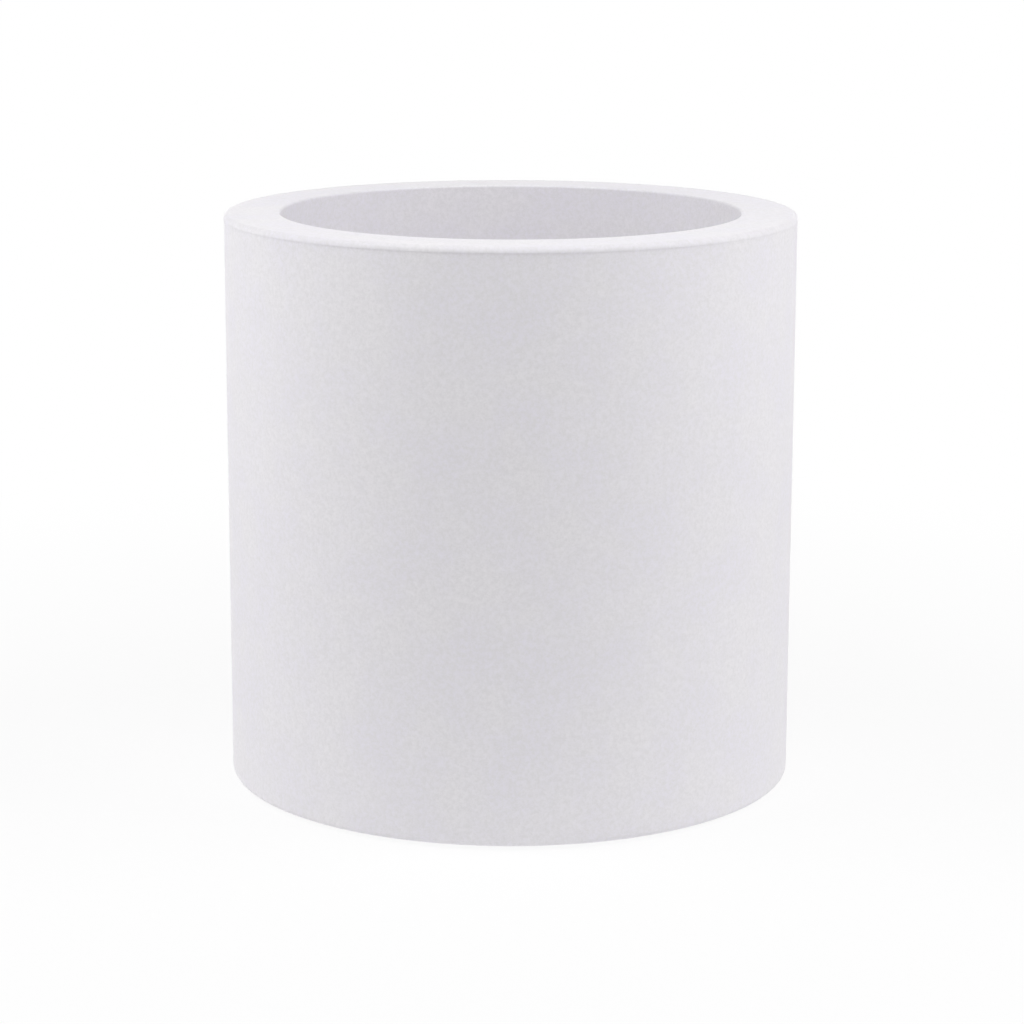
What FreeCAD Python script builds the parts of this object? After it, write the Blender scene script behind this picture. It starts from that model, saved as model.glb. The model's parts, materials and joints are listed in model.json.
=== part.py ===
import FreeCAD, Part
import math
import os
from collections import namedtuple

from FreeCAD import Placement, Rotation, Vector

# Cordless illuminated planter: an outer shell with a planting bowl snapped into its top, a lamp under the
# bowl on a base hatch, a control panel in a rear pocket and a drain. Millimetres, +Z up, origin on the floor
# at the centre.

# Body
outer_diameter = 600.0
shell_height = 600.0
skin = 6.0
rim_width = 59.0
rim_outer_round = 6.0
rim_inner_round = 2.5
rim_cap_straight = 0.6
rim_seam_step = 0.5
spigot_depth = 16.0
spigot_wall = 4.0
snap_drop = 5.0
snap_width = 5.0
snap_depth = 1.0
base_round = 6.0
lamp_room_height = 154.0
bowl_draft_angle = 1.5
bowl_floor_round = 16.0
base_ring_width = 39.5
recess_height = 14.0
recess_round = 5.0
port_clearance = 1.5
cavity_round = 2.0

# Foot pads
foot_stand = 3.0
foot_count = 6
foot_diameter = 18.0
foot_setback = 6.5
foot_socket_depth = 2.0
foot_stem_diameter = 8.0
foot_head_diameter = 11.0
foot_head_height = 3.0
foot_round = 1.0
foot_groove_diameter = 12.0
foot_groove_width = 2.0
foot_groove_depth = 0.8

# Fits
overrun = 1.0
fit_gap = 0.05
thread_gap = 0.1
hole_gap = 0.25
slide_gap = 0.3
pin_gap = 0.05
tip_gap = 1.5

# Fasteners
Screw = namedtuple("Screw", "shank head head_height drive drive_depth")
m5_screw = Screw(shank=5.0, head=9.5, head_height=2.8, drive=3.0, drive_depth=1.6)
m4_screw = Screw(shank=4.0, head=7.6, head_height=2.2, drive=2.5, drive_depth=1.3)
m3_screw = Screw(shank=3.0, head=5.6, head_height=1.8, drive=2.0, drive_depth=1.0)
head_round_share = 0.55
boss_wall = 4.0
insert_wall = 1.5

# Base hatch
hatch_overlap = 18.0
hatch_thickness = 4.0
hatch_gasket_thickness = 2.0
hatch_gasket_margin = 2.0
hatch_gasket_width = 5.0
hatch_screw_count = 8
hatch_screw_inset = 7.0
hatch_insert_length = 10.0
hatch_spigot_gap = 2.0
hatch_spigot_wall = 4.0
hatch_spigot_height = 7.0
hatch_rib_count = 8
hatch_rib_width = 3.0
hatch_rib_height = 2.5
hatch_hub_diameter = 50.0
hatch_edge_round = 1.5
vent_head_diameter = 13.0
vent_head_height = 2.5
vent_stem_diameter = 8.0
vent_bore_diameter = 3.0
vent_barb_diameter = 10.0
vent_barb_height = 2.0

# Lamp tub
tub_clearance = 3.0
tub_wall = 3.0
lamp_flange_width = 11.0
tub_flange_thickness = 4.0
tub_screw_count = 4
tub_boss_height = 12.0
tub_seal_width = 4.0
lamp_seal_thickness = 1.5
gland_pad_margin = 6.0
gland_pad_height = 20.0
gland_pad_stand = 1.0
gland_pad_depth = 10.0

# Lamp
heat_plate_thickness = 4.0
led_board_clearance = 8.0
led_board_thickness = 1.6
led_width = 5.0
led_height = 1.2
led_lens_diameter = 4.0
led_lens_height = 0.5
led_ring_shares = (0.46, 0.84)
led_ring_counts = (8, 16)
led_screw_count = 6
led_screw_share = 0.66
led_screw_length = 4.5
dome_wall = 2.5
dome_flange_thickness = 3.0
dome_rise = 42.0
dome_shoulder_round = 28.0
dome_seal_margin = 1.0
dome_seal_width = 5.0
dome_ring_thickness = 3.0
dome_ring_gap = 0.5
ring_screw_count = 8
lead_hole_diameter = 14.0
grommet_lip_width = 2.5
grommet_lip_height = 1.5
grommet_bore_diameter = 8.0

# Battery
foam_pad_thickness = 1.0
cell_count = 4
cell_diameter = 18.4
cell_length = 65.0
cell_spacing = 1.2
cell_play = 0.3
cell_groove_depth = 0.6
cell_groove_width = 1.5
cell_groove_inset = 4.0
cradle_floor = 2.0
cradle_wall = 2.0
cradle_saddle_share = 0.27
cradle_end_space = 3.0
cradle_ledge = 10.0
link_thickness = 0.4
link_width = 8.0
link_overlap = 4.0
clamp_width = 14.0
clamp_thickness = 3.0
clamp_post_width = 10.0
clamp_pad_gap = 0.3
post_diameter = 8.0
m3_grip = 5.0

# Control board
board_edge = 1.0
board_thickness = 1.6
board_clearance = 3.0
terminal_width = 10.0
terminal_depth = 10.0
terminal_height = 10.0
terminal_inset = 6.0
terminal_screw_diameter = 4.0
terminal_screw_depth = 1.0
chip_width = 10.0
chip_height = 2.0
chip_place_shares = ((-0.3, -0.02), (-0.3, 0.16), (0.28, -0.18))
can_diameter = 8.0
can_height = 9.0
can_place_shares = ((0.2, 0.1), (0.32, 0.1), (0.2, 0.22), (-0.1, -0.2))
coil_width = 12.0
coil_height = 6.0
coil_place_shares = ((0.12, -0.2), (-0.14, 0.18))
lead_diameter = 2.4
lead_spacing = 4.0
lead_reach = 6.0
lead_bend_share = 0.45
cable_bend_share = 0.3

# Cables and glands
cable_diameter = 5.0
gland_thread_diameter = 12.0
gland_body_width = 15.0
gland_body_height = 4.0
gland_collar_diameter = 13.0
gland_collar_height = 6.0
gland_cap_diameter = 15.0
gland_cap_gap = 0.5
gland_tail_height = 2.5
cable_run_shares = (0.16, 0.42, 0.66, 0.85)
clip_width = 11.0
clip_length = 10.0
clip_wall = 2.0

# Rear pocket and panel
pocket_width = 120.0
pocket_height = 74.0
pocket_depth = 22.0
pocket_round = 12.0
pocket_lift = 24.0
pocket_edge_round = 2.5
window_side_margin = 11.0
window_end_margin = 13.0
window_round = 8.0
panel_margin = 3.0
panel_thickness = 3.0
panel_edge_round = 0.8
panel_screw_inset = 6.5
panel_insert_length = 8.0
panel_screw_length = 10.0
panel_gasket_thickness = 1.5
panel_gasket_margin = 2.0
device_share = 0.54
device_seal_thickness = 1.0
device_nut_thickness = 4.0
device_nut_wall = 3.0

# Push button
button_barrel_diameter = 19.0
button_base = 6.0
button_wall = 1.2
button_bezel_width = 3.0
button_bezel_height = 2.5
button_bezel_round = 1.2
button_lip_width = 0.9
button_cap_stand = 2.8
button_cap_round = 1.0
button_travel = 2.5
button_lip_height = 2.0
button_skirt_height = 4.0
boot_height = 8.5
boot_wall = 1.0
boot_crown_share = 0.6
switch_diameter = 17.0
switch_length = 12.0
switch_blade_width = 4.0
switch_blade_thickness = 0.8
switch_blade_length = 6.0
switch_blade_spacing = 11.0

# Charge socket
socket_barrel_diameter = 22.0
socket_base = 8.0
socket_wall = 2.5
socket_flange_width = 4.0
socket_flange_height = 3.0
socket_recess_depth = 13.0
socket_pin_diameter = 2.4
socket_pin_height = 6.0
socket_pin_spacing = 8.0
socket_pin_tail = 4.0
lid_overlap = 5.0
lid_thickness = 3.0
lid_stand = 0.3
lid_edge_round = 0.8
lid_seal_gap = 0.6
lid_seal_height = 1.5
knuckle_diameter = 5.4
knuckle_width = 9.6
hinge_pin_diameter = 2.4
hinge_rise = 1.8
ear_width = 3.0
ear_wall = 1.8
ear_root = 6.0
charge_lens_diameter = 7.0
charge_lens_height = 1.6
charge_lens_stem = 5.0
charge_lens_lift = 14.0

# Drain
drain_clearance = 4.0
drain_flange_width = 6.5
drain_flange_height = 3.0
drain_flange_round = 1.0
drain_bore_diameter = 16.0
drain_barrel_wall = 4.5
drain_seal_thickness = 1.5
drain_seal_width = 4.5
drain_nut_wall = 4.5
drain_nut_height = 7.0
drain_tail_length = 22.0
drain_tail_wall = 1.7
drain_tube_wall = 2.0
drain_tube_stand = 4.0
outlet_groove_depth = 3.0
outlet_lip_width = 4.0
outlet_lip_height = 2.0
plug_head_overlap = 5.5
plug_head_height = 5.0
plug_head_round = 1.5
plug_stem_length = 16.0
plug_taper_share = 0.94
plug_tab_width = 16.0
plug_tab_thickness = 5.0
plug_tab_height = 14.0
plug_tab_round = 1.5

# Levels and radii that follow from the sizes
base_level = foot_stand
top_level = base_level + shell_height
recess_level = base_level + recess_height
deck_level = recess_level + skin
floor_level = deck_level + lamp_room_height + skin
rim_radius = outer_diameter / 2
rim_cap_level = top_level - rim_outer_round - rim_cap_straight
snap_top = rim_cap_level - snap_drop
snap_low = snap_top - snap_width
wall_radius = rim_radius - rim_seam_step
wall_bore_radius = wall_radius - skin
spigot_radius = wall_bore_radius - slide_gap
recess_radius = wall_radius - base_ring_width
bowl_radius = rim_radius - rim_width
bowl_foot_radius = bowl_radius - math.tan(math.radians(bowl_draft_angle)) * (top_level - floor_level)
foot_circle = recess_radius + foot_setback + foot_diameter / 2

# Rear pocket, with heights above the pocket's face
pocket_face = wall_radius - pocket_depth
pocket_level = base_level + skin + pocket_lift + pocket_height / 2
panel_width = pocket_width - 2 * panel_margin
panel_height = pocket_height - 2 * panel_margin
window_width = panel_width - 2 * window_side_margin
window_height = panel_height - 2 * window_end_margin
panel_back = panel_gasket_thickness
panel_front = panel_back + panel_thickness
panel_screw_x = panel_width / 2 - panel_screw_inset
panel_screw_y = panel_height / 2 - panel_screw_inset
panel_insert_diameter = m4_screw.shank + 2 * insert_wall
device_x = window_width * device_share / 2
device_face = panel_front + device_seal_thickness

button_bezel_diameter = button_barrel_diameter + 2 * button_bezel_width
button_bore_diameter = button_barrel_diameter - 2 * button_wall
button_skirt_diameter = button_bore_diameter - 2 * slide_gap
button_cap_diameter = button_skirt_diameter - 2 * (button_lip_width + slide_gap)
button_top = device_face + button_bezel_height
button_lip = button_top - button_lip_height
button_skirt_top = button_lip - slide_gap
button_skirt_low = button_skirt_top - button_skirt_height
button_bore_floor = button_skirt_low - boot_height
button_back = button_bore_floor - button_base
switch_back = button_back - switch_length

socket_flange_diameter = socket_barrel_diameter + 2 * socket_flange_width
socket_recess_diameter = socket_barrel_diameter - 2 * socket_wall
socket_front = device_face + socket_flange_height
socket_floor = socket_front - socket_recess_depth
socket_back = socket_floor - socket_base
lid_diameter = socket_recess_diameter + 2 * lid_overlap
lid_back = socket_front + lid_stand
hinge_height = lid_diameter / 2 + knuckle_diameter / 2 + hinge_rise
hinge_level = lid_back + knuckle_diameter / 2

# Cells, cradle and board, from the hatch upward
hatch_top = recess_level - hatch_gasket_thickness
hatch_bottom = hatch_top - hatch_thickness
tub_bottom = hatch_top
tub_floor = tub_bottom + tub_wall
cell_pitch = cell_diameter + cell_spacing
cradle_bottom = tub_floor + foam_pad_thickness
cradle_deck = cradle_bottom + cradle_floor
cell_level = cradle_deck + cell_play + cell_diameter / 2
cradle_width = cell_count * cell_pitch + 2 * cradle_wall
cradle_inner_length = cell_length + 2 * cradle_end_space
cradle_length = cradle_inner_length + 2 * cradle_wall
clamp_bottom = cell_level + cell_diameter / 2 + clamp_pad_gap
clamp_top = clamp_bottom + clamp_thickness
clamp_screw_x = (cradle_width + clamp_post_width) / 2
post_x = cradle_width / 2
post_y = (cradle_length + cradle_ledge) / 2
board_width = 2 * post_x + post_diameter + 2 * board_edge
board_length = 2 * post_y + post_diameter + 2 * board_edge
board_bottom = clamp_top + m3_screw.head_height + board_clearance
board_top = board_bottom + board_thickness
terminal_level = board_top + terminal_height / 2
terminal_face = board_length / 2 - terminal_inset
terminal_y = terminal_face - terminal_depth / 2

# Lamp around the board
tub_bore = 2 * (math.hypot(board_width / 2, board_length / 2) + tub_clearance)
tub_diameter = tub_bore + 2 * tub_wall
tub_top = terminal_level + gland_pad_height / 2 + tub_flange_thickness
tub_boss_diameter = m4_screw.shank + 2 * boss_wall
tub_screw_radius = tub_bore / 2 - boss_wall
lamp_flange_diameter = tub_diameter + 2 * lamp_flange_width
ring_screw_radius = (tub_diameter + lamp_flange_width) / 2
plate_bottom = tub_top + lamp_seal_thickness
plate_top = plate_bottom + heat_plate_thickness
dome_diameter = tub_diameter
dome_bore = dome_diameter - 2 * dome_wall
led_board_diameter = dome_bore - 2 * led_board_clearance
led_board_top = plate_top + led_board_thickness
led_screw_radius = led_board_diameter / 2 * led_screw_share
dome_bottom = plate_top + lamp_seal_thickness
dome_flange_top = dome_bottom + dome_flange_thickness
dome_top = dome_flange_top + dome_rise
dome_ring_top = dome_flange_top + dome_ring_thickness

# Glands, port and hatch around the lamp
gland_pad_face = tub_diameter / 2 + gland_pad_stand
gland_shoulder = gland_body_height + gland_cap_gap + gland_collar_height
gland_tip = gland_shoulder + gland_tail_height
gland_reach = math.hypot(device_x + gland_cap_diameter / 2, gland_pad_face + gland_tip)
port_radius = max(gland_reach, lamp_flange_diameter / 2) + port_clearance
hatch_diameter = 2 * (port_radius + hatch_overlap)
hatch_screw_radius = hatch_diameter / 2 - hatch_screw_inset
hatch_insert_diameter = m5_screw.shank + 2 * insert_wall
hatch_spigot_diameter = 2 * (port_radius - hatch_spigot_gap)
hatch_spigot_bore = hatch_spigot_diameter - 2 * hatch_spigot_wall
vent_offset = (hatch_spigot_bore + tub_diameter) / 4
cable_level = deck_level + clip_wall + cable_diameter / 2

# Drain, beside the hatch
drain_barrel_diameter = drain_bore_diameter + 2 * drain_barrel_wall
drain_flange_diameter = drain_barrel_diameter + 2 * drain_flange_width
drain_tail_diameter = drain_bore_diameter + 2 * drain_tail_wall
drain_tube_bore = drain_tail_diameter + 2 * slide_gap
drain_nut_width = drain_barrel_diameter + 2 * drain_nut_wall
outlet_bore = drain_tube_bore + 2 * drain_tube_wall
outlet_hole = outlet_bore + 2 * outlet_groove_depth
outlet_flange = outlet_hole + 2 * outlet_lip_width
drain_offset = hatch_diameter / 2 + drain_clearance + outlet_flange / 2
drain_flange_bottom = floor_level + drain_seal_thickness
drain_flange_top = drain_flange_bottom + drain_flange_height
drain_nut_bottom = floor_level - skin - drain_nut_height
drain_tube_bottom = recess_level - drain_tube_stand
plug_head_diameter = drain_bore_diameter + 2 * plug_head_overlap

ORIGIN = Vector(0, 0, 0)
UP = Vector(0, 0, 1)
ACROSS = Vector(1, 0, 0)
BACK = Vector(0, 1, 0)


# Helpers
def disc(diameter, low, high, x=0, y=0):
    return Part.makeCylinder(diameter / 2, high - low, Vector(x, y, low))


def ring(outer, inner, low, high, x=0, y=0):
    return disc(outer, low, high, x, y).cut(disc(inner, low - overrun, high + overrun, x, y))


def slab(width, length, low, high, x=0, y=0):
    corner = Vector(x - width / 2, y - length / 2, low)
    return Part.makeBox(width, length, high - low, corner)


def cross_rod(diameter, width, y, z):
    return Part.makeCylinder(diameter / 2, width, Vector(-width / 2, y, z), ACROSS)


def hexagon(width, low, high, x=0, y=0):
    reach = width / math.sqrt(3)
    points = []
    for i in range(7):
        angle = math.radians(60 * i)
        points.append(Vector(x + reach * math.cos(angle), y + reach * math.sin(angle), low))
    return Part.Face(Part.makePolygon(points)).extrude(UP * (high - low))


def rounded_wire(corners):
    """Closed wire through (point, round) corners, each round a tangent arc."""
    edges = []
    ends = []
    for i, (point, radius) in enumerate(corners):
        before = (corners[i - 1][0] - point).normalize()
        after = (corners[(i + 1) % len(corners)][0] - point).normalize()
        if radius == 0:
            ends.append((point, point))
            continue
        half = before.getAngle(after) / 2
        setback = radius / math.tan(half)
        centre = point + (before + after).normalize() * (radius / math.sin(half))
        middle = centre + (point - centre).normalize() * radius
        start = point + before * setback
        stop = point + after * setback
        edges.append(Part.Arc(start, middle, stop).toShape())
        ends.append((start, stop))
    for i, (start, stop) in enumerate(ends):
        edges.append(Part.LineSegment(ends[i - 1][1], start).toShape())
    return Part.Wire(Part.__sortEdges__(edges))


def turned(profile):
    """Solid of revolution about Z from (radius, level, round) corners."""
    corners = [(Vector(x, 0, z), r) for x, z, r in profile]
    return Part.Face(rounded_wire(corners)).revolve(ORIGIN, UP, 360)


def rounded_slab(width, height, radius, low, high):
    """Prism with rounded corners, standing on Z."""
    x = width / 2
    y = height / 2
    places = ((-x, -y), (x, -y), (x, y), (-x, y))
    corners = [(Vector(a, b, low), radius) for a, b in places]
    return Part.Face(rounded_wire(corners)).extrude(UP * (high - low))


def around(shape, count, between=False):
    """Copies of a shape spaced evenly about Z, from its own place or from half a step on."""
    step = 360 / count
    first = step / 2 if between else 0
    return [shape.rotated(ORIGIN, UP, first + step * i) for i in range(count)]


def four(shape, x, y):
    """Copies of a shape at the four corners of a rectangle."""
    return [shape.translated(Vector(a * x, b * y, 0)) for a in (-1, 1) for b in (-1, 1)]


def screw(size, length):
    """Pan-head screw: the head stands on z = 0 and the shank hangs below."""
    head = disc(size.head, 0, size.head_height)
    rim = [edge for edge in head.Edges if abs(edge.CenterOfMass.z - size.head_height) < fit_gap]
    head = head.makeFillet(size.head_height * head_round_share, rim[:1])
    drive = hexagon(size.drive, size.head_height - size.drive_depth, size.head_height + overrun)
    return head.fuse(disc(size.shank, -length, 0)).cut(drive)


def upturned(shape):
    """The shape turned over, so that a screw's head is below."""
    return shape.rotated(ORIGIN, ACROSS, 180)


def raised(shape, level):
    return shape.translated(UP * level)


def threaded_hole(size, low, high, x=0, y=0):
    return disc(size.shank + 2 * thread_gap, low, high, x, y)


def clear_hole(size, low, high, x=0, y=0):
    return disc(size.shank + 2 * hole_gap, low, high, x, y)


def lead(points, diameter, bend_share=lead_bend_share):
    """Round lead along straight runs joined by tangent arcs."""
    edges = []
    start = points[0]
    for before, point, after in zip(points, points[1:], points[2:]):
        reach = bend_share * min((point - before).Length, (after - point).Length)
        back = (before - point).normalize()
        ahead = (after - point).normalize()
        half = back.getAngle(ahead) / 2
        centre = point + (back + ahead).normalize() * (reach / math.cos(half))
        middle = centre + (point - centre).normalize() * (reach * math.tan(half))
        edges.append(Part.LineSegment(start, point + back * reach).toShape())
        edges.append(Part.Arc(point + back * reach, middle, point + ahead * reach).toShape())
        start = point + ahead * reach
    edges.append(Part.LineSegment(start, points[-1]).toShape())
    section = Part.Wire(Part.makeCircle(diameter / 2, points[0], points[1] - points[0]))
    return Part.Wire(edges).makePipeShell([section], True, False)


REAR = Placement(
    Vector(0, pocket_face, pocket_level),
    Rotation(Vector(-1, 0, 0), UP, BACK, "XYZ"),
)


def on_panel(shape, x=0):
    """Place a shape made with x right, y up and z outward from the pocket's face."""
    return shape.translated(ACROSS * x).transformed(REAR.Matrix)


BUTTON_X = -device_x
SOCKET_X = device_x


# Body
def shell_of_revolution():
    return turned([
        (port_radius, recess_level, 0),
        (recess_radius, recess_level, recess_round),
        (recess_radius, base_level, recess_round),
        (wall_radius, base_level, base_round),
        (wall_radius, rim_cap_level, 0),
        (wall_bore_radius, rim_cap_level, 0),
        (wall_bore_radius, snap_top, 0),
        (wall_bore_radius + snap_depth, snap_top - snap_depth, 0),
        (wall_bore_radius + snap_depth, snap_low + snap_depth, 0),
        (wall_bore_radius, snap_low, 0),
        (wall_bore_radius, base_level + skin, cavity_round),
        (recess_radius + skin, base_level + skin, cavity_round),
        (recess_radius + skin, deck_level, recess_round + skin),
        (port_radius, deck_level, 0),
    ])


def planting_bowl():
    """Bowl and rim in one moulding; a beaded spigot under the rim snaps into the outer shell."""
    drop = skin * (1 - math.tan(math.radians(bowl_draft_angle)))
    bowl = turned([
        (0, floor_level, 0),
        (0, floor_level - skin, 0),
        (bowl_foot_radius + drop, floor_level - skin, bowl_floor_round + skin),
        (bowl_radius + skin, top_level - skin, cavity_round),
        (spigot_radius - spigot_wall, top_level - skin, cavity_round),
        (spigot_radius - spigot_wall, rim_cap_level - spigot_depth, 0),
        (spigot_radius, rim_cap_level - spigot_depth, 0),
        (spigot_radius, snap_low, 0),
        (spigot_radius + snap_depth, snap_low + snap_depth, 0),
        (spigot_radius + snap_depth, snap_top - snap_depth, 0),
        (spigot_radius, snap_top, 0),
        (spigot_radius, rim_cap_level, 0),
        (rim_radius, rim_cap_level, 0),
        (rim_radius, top_level, rim_outer_round),
        (bowl_radius, top_level, rim_inner_round),
        (bowl_foot_radius, floor_level, bowl_floor_round),
    ])
    floor_hole = drain_barrel_diameter + 2 * hole_gap
    return bowl.cut(at_drain(disc(floor_hole, floor_level - skin - overrun, floor_level + overrun)))


def outer_shell():
    shell = shell_of_revolution()
    hatch_boss = disc(
        hatch_insert_diameter + 2 * boss_wall, recess_level, recess_level + hatch_insert_length + boss_wall,
        hatch_screw_radius,
    )
    frame = rounded_slab(
        pocket_width + 2 * skin, pocket_height + 2 * skin, pocket_round + skin, -skin, pocket_depth,
    )
    panel_boss = disc(panel_insert_diameter + 2 * boss_wall, -panel_insert_length - boss_wall, 0)
    bosses = four(panel_boss, panel_screw_x, panel_screw_y)
    frame = on_panel(frame.multiFuse(bosses)).common(disc(2 * wall_radius, base_level, top_level))
    shell = shell.multiFuse([frame] + around(hatch_boss, hatch_screw_count))

    mouth = on_panel(rounded_slab(pocket_width, pocket_height, pocket_round, 0, pocket_depth + overrun))
    shell = shell.cut(mouth).removeSplitter()
    shell = soften_pocket(shell)
    window = rounded_slab(window_width, window_height, window_round, -skin - overrun, overrun)
    panel_hole = disc(panel_insert_diameter + 2 * fit_gap, -panel_insert_length, overrun)
    hatch_hole = disc(
        hatch_insert_diameter + 2 * fit_gap, recess_level - overrun, recess_level + hatch_insert_length,
        hatch_screw_radius,
    )
    foot_hole = disc(foot_stem_diameter + 2 * fit_gap, base_level, base_level + skin + overrun, foot_circle)
    foot_socket = disc(
        foot_diameter + 2 * hole_gap, base_level - overrun, base_level + foot_socket_depth, foot_circle,
    )
    cuts = [on_panel(window)]
    cuts += [on_panel(hole) for hole in four(panel_hole, panel_screw_x, panel_screw_y)]
    cuts += around(hatch_hole, hatch_screw_count)
    cuts += around(foot_hole.fuse(foot_socket), foot_count, between=True)
    deck_hole = outlet_hole + 2 * fit_gap
    cuts.append(at_drain(disc(deck_hole, recess_level - overrun, deck_level + overrun)))
    return shell.cut(cuts)


def soften_pocket(shell):
    """Round the pocket's mouth where its sides meet the outer wall."""
    edges = []
    for edge in shell.Edges:
        middle = edge.CenterOfMass
        off_panel = middle.y > pocket_face + pocket_depth / 2
        inside = abs(middle.x) < pocket_width / 2 + overrun
        level = abs(middle.z - pocket_level) < pocket_height / 2 + overrun
        on_wall = all(
            abs(math.hypot(v.X, v.Y) - wall_radius) < fit_gap for v in edge.Vertexes
        )
        if off_panel and inside and level and on_wall:
            edges.append(edge)
    return shell.makeFillet(pocket_edge_round, edges)


def insert(size, length):
    """Brass insert with its open end at z = 0 and its blind end below."""
    body = disc(size.shank + 2 * insert_wall, -length, 0)
    return body.cut(threaded_hole(size, -length - overrun, overrun))


def hatch_inserts():
    one = raised(upturned(insert(m5_screw, hatch_insert_length)), recess_level)
    return around(one.translated(ACROSS * hatch_screw_radius), hatch_screw_count)


def panel_inserts():
    return [on_panel(s) for s in four(insert(m4_screw, panel_insert_length), panel_screw_x, panel_screw_y)]


def foot_pads():
    pad_top = base_level + foot_socket_depth
    stem_top = base_level + skin
    pad = turned([
        (0, 0, 0),
        (foot_diameter / 2, 0, foot_round),
        (foot_diameter / 2, pad_top, 0),
        (foot_stem_diameter / 2, pad_top, 0),
        (foot_stem_diameter / 2, stem_top, 0),
        (foot_head_diameter / 2, stem_top, 0),
        (foot_stem_diameter / 2, stem_top + foot_head_height, 0),
        (0, stem_top + foot_head_height, 0),
    ])
    groove_inner = foot_groove_diameter - 2 * foot_groove_width
    groove = ring(foot_groove_diameter, groove_inner, -overrun, foot_groove_depth)
    pad = pad.cut(groove).translated(ACROSS * foot_circle)
    return around(pad, foot_count, between=True)


# Base hatch
def base_hatch():
    hatch = turned([
        (0, hatch_bottom, 0),
        (hatch_diameter / 2, hatch_bottom, hatch_edge_round),
        (hatch_diameter / 2, hatch_top, 0),
        (0, hatch_top, 0),
    ])
    spigot = ring(hatch_spigot_diameter, hatch_spigot_bore, hatch_bottom, hatch_top + hatch_spigot_height)
    hub_inner = hatch_hub_diameter - 2 * hatch_rib_width
    hub = ring(hatch_hub_diameter, hub_inner, hatch_bottom - hatch_rib_height, hatch_top)
    rib_length = (hatch_spigot_diameter - hatch_hub_diameter) / 2
    rib = slab(
        rib_length, hatch_rib_width, hatch_bottom - hatch_rib_height, hatch_top,
        (hatch_hub_diameter + rib_length) / 2 - hatch_rib_width / 2,
    )
    hatch = hatch.multiFuse([spigot, hub] + around(rib, hatch_rib_count, between=True))
    low = hatch_bottom - overrun
    high = hatch_top + overrun
    holes = around(clear_hole(m5_screw, low, high, hatch_screw_radius), hatch_screw_count)
    holes += around(clear_hole(m4_screw, low, high, tub_screw_radius), tub_screw_count)
    holes.append(disc(vent_stem_diameter + 2 * fit_gap, low, high, 0, -vent_offset))
    return hatch.cut(holes)


def hatch_gasket():
    inner = 2 * (port_radius + hatch_gasket_margin)
    return ring(inner + 2 * hatch_gasket_width, inner, hatch_top, recess_level)


def hatch_screws():
    length = hatch_thickness + hatch_gasket_thickness + hatch_insert_length - tip_gap
    one = raised(upturned(screw(m5_screw, length)), hatch_bottom)
    return around(one.translated(ACROSS * hatch_screw_radius), hatch_screw_count)


def vent_plug():
    plug = turned([
        (vent_bore_diameter / 2, hatch_bottom - vent_head_height, 0),
        (vent_head_diameter / 2, hatch_bottom - vent_head_height, vent_head_height / 2),
        (vent_head_diameter / 2, hatch_bottom, 0),
        (vent_stem_diameter / 2, hatch_bottom, 0),
        (vent_stem_diameter / 2, hatch_top, 0),
        (vent_barb_diameter / 2, hatch_top, 0),
        (vent_stem_diameter / 2, hatch_top + vent_barb_height, 0),
        (vent_bore_diameter / 2, hatch_top + vent_barb_height, 0),
    ])
    return plug.translated(BACK * -vent_offset)


# Lamp
def lamp_tub():
    flange_bottom = tub_top - tub_flange_thickness
    tub = disc(tub_diameter, tub_bottom, tub_top)
    tub = tub.fuse(disc(lamp_flange_diameter, flange_bottom, tub_top))
    tub = tub.cut(disc(tub_bore, tub_floor, tub_top + overrun))
    boss = disc(tub_boss_diameter, tub_bottom, tub_floor + tub_boss_height, tub_screw_radius)
    pad = slab(
        2 * device_x + gland_body_width + 2 * gland_pad_margin, gland_pad_depth,
        terminal_level - gland_pad_height / 2, tub_top - tub_flange_thickness / 2,
        0, gland_pad_face - gland_pad_depth / 2,
    )
    tub = tub.multiFuse(around(boss, tub_screw_count) + [pad])
    hole_top = tub_floor + tub_boss_height - tip_gap
    hole = threaded_hole(m4_screw, tub_bottom - overrun, hole_top, tub_screw_radius)
    cuts = around(hole, tub_screw_count)
    ring_hole = threaded_hole(m4_screw, flange_bottom - overrun, tub_top + overrun, ring_screw_radius)
    cuts += around(ring_hole, ring_screw_count, between=True)
    for x in (-device_x, device_x):
        start = Vector(x, gland_pad_face - gland_pad_depth - tub_wall, terminal_level)
        reach = gland_pad_depth + tub_wall + overrun
        cuts.append(Part.makeCylinder(gland_thread_diameter / 2 + thread_gap, reach, start, BACK))
    return tub.cut(cuts)


def tub_screws():
    length = hatch_thickness + tub_wall + tub_boss_height - 2 * tip_gap
    one = raised(upturned(screw(m4_screw, length)), hatch_bottom)
    return around(one.translated(ACROSS * tub_screw_radius), tub_screw_count)


def tub_seal():
    inner = tub_bore
    return ring(inner + 2 * tub_seal_width, inner, tub_top, plate_bottom)


def heat_plate():
    plate = disc(lamp_flange_diameter, plate_bottom, plate_top)
    low = plate_bottom - overrun
    high = plate_top + overrun
    holes = around(
        clear_hole(m4_screw, low, high, ring_screw_radius), ring_screw_count, between=True,
    )
    tapped = threaded_hole(m3_screw, low, high, led_screw_radius)
    holes += around(tapped, led_screw_count)
    holes.append(disc(lead_hole_diameter + 2 * fit_gap, low, high))
    return plate.cut(holes)


def led_board():
    board = disc(led_board_diameter, plate_top, led_board_top)
    low = plate_top - overrun
    high = led_board_top + overrun
    clear = clear_hole(m3_screw, low, high, led_screw_radius)
    collar = lead_hole_diameter + 2 * (grommet_lip_width + hole_gap)
    return board.cut(around(clear, led_screw_count) + [disc(collar, low, high)])


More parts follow.
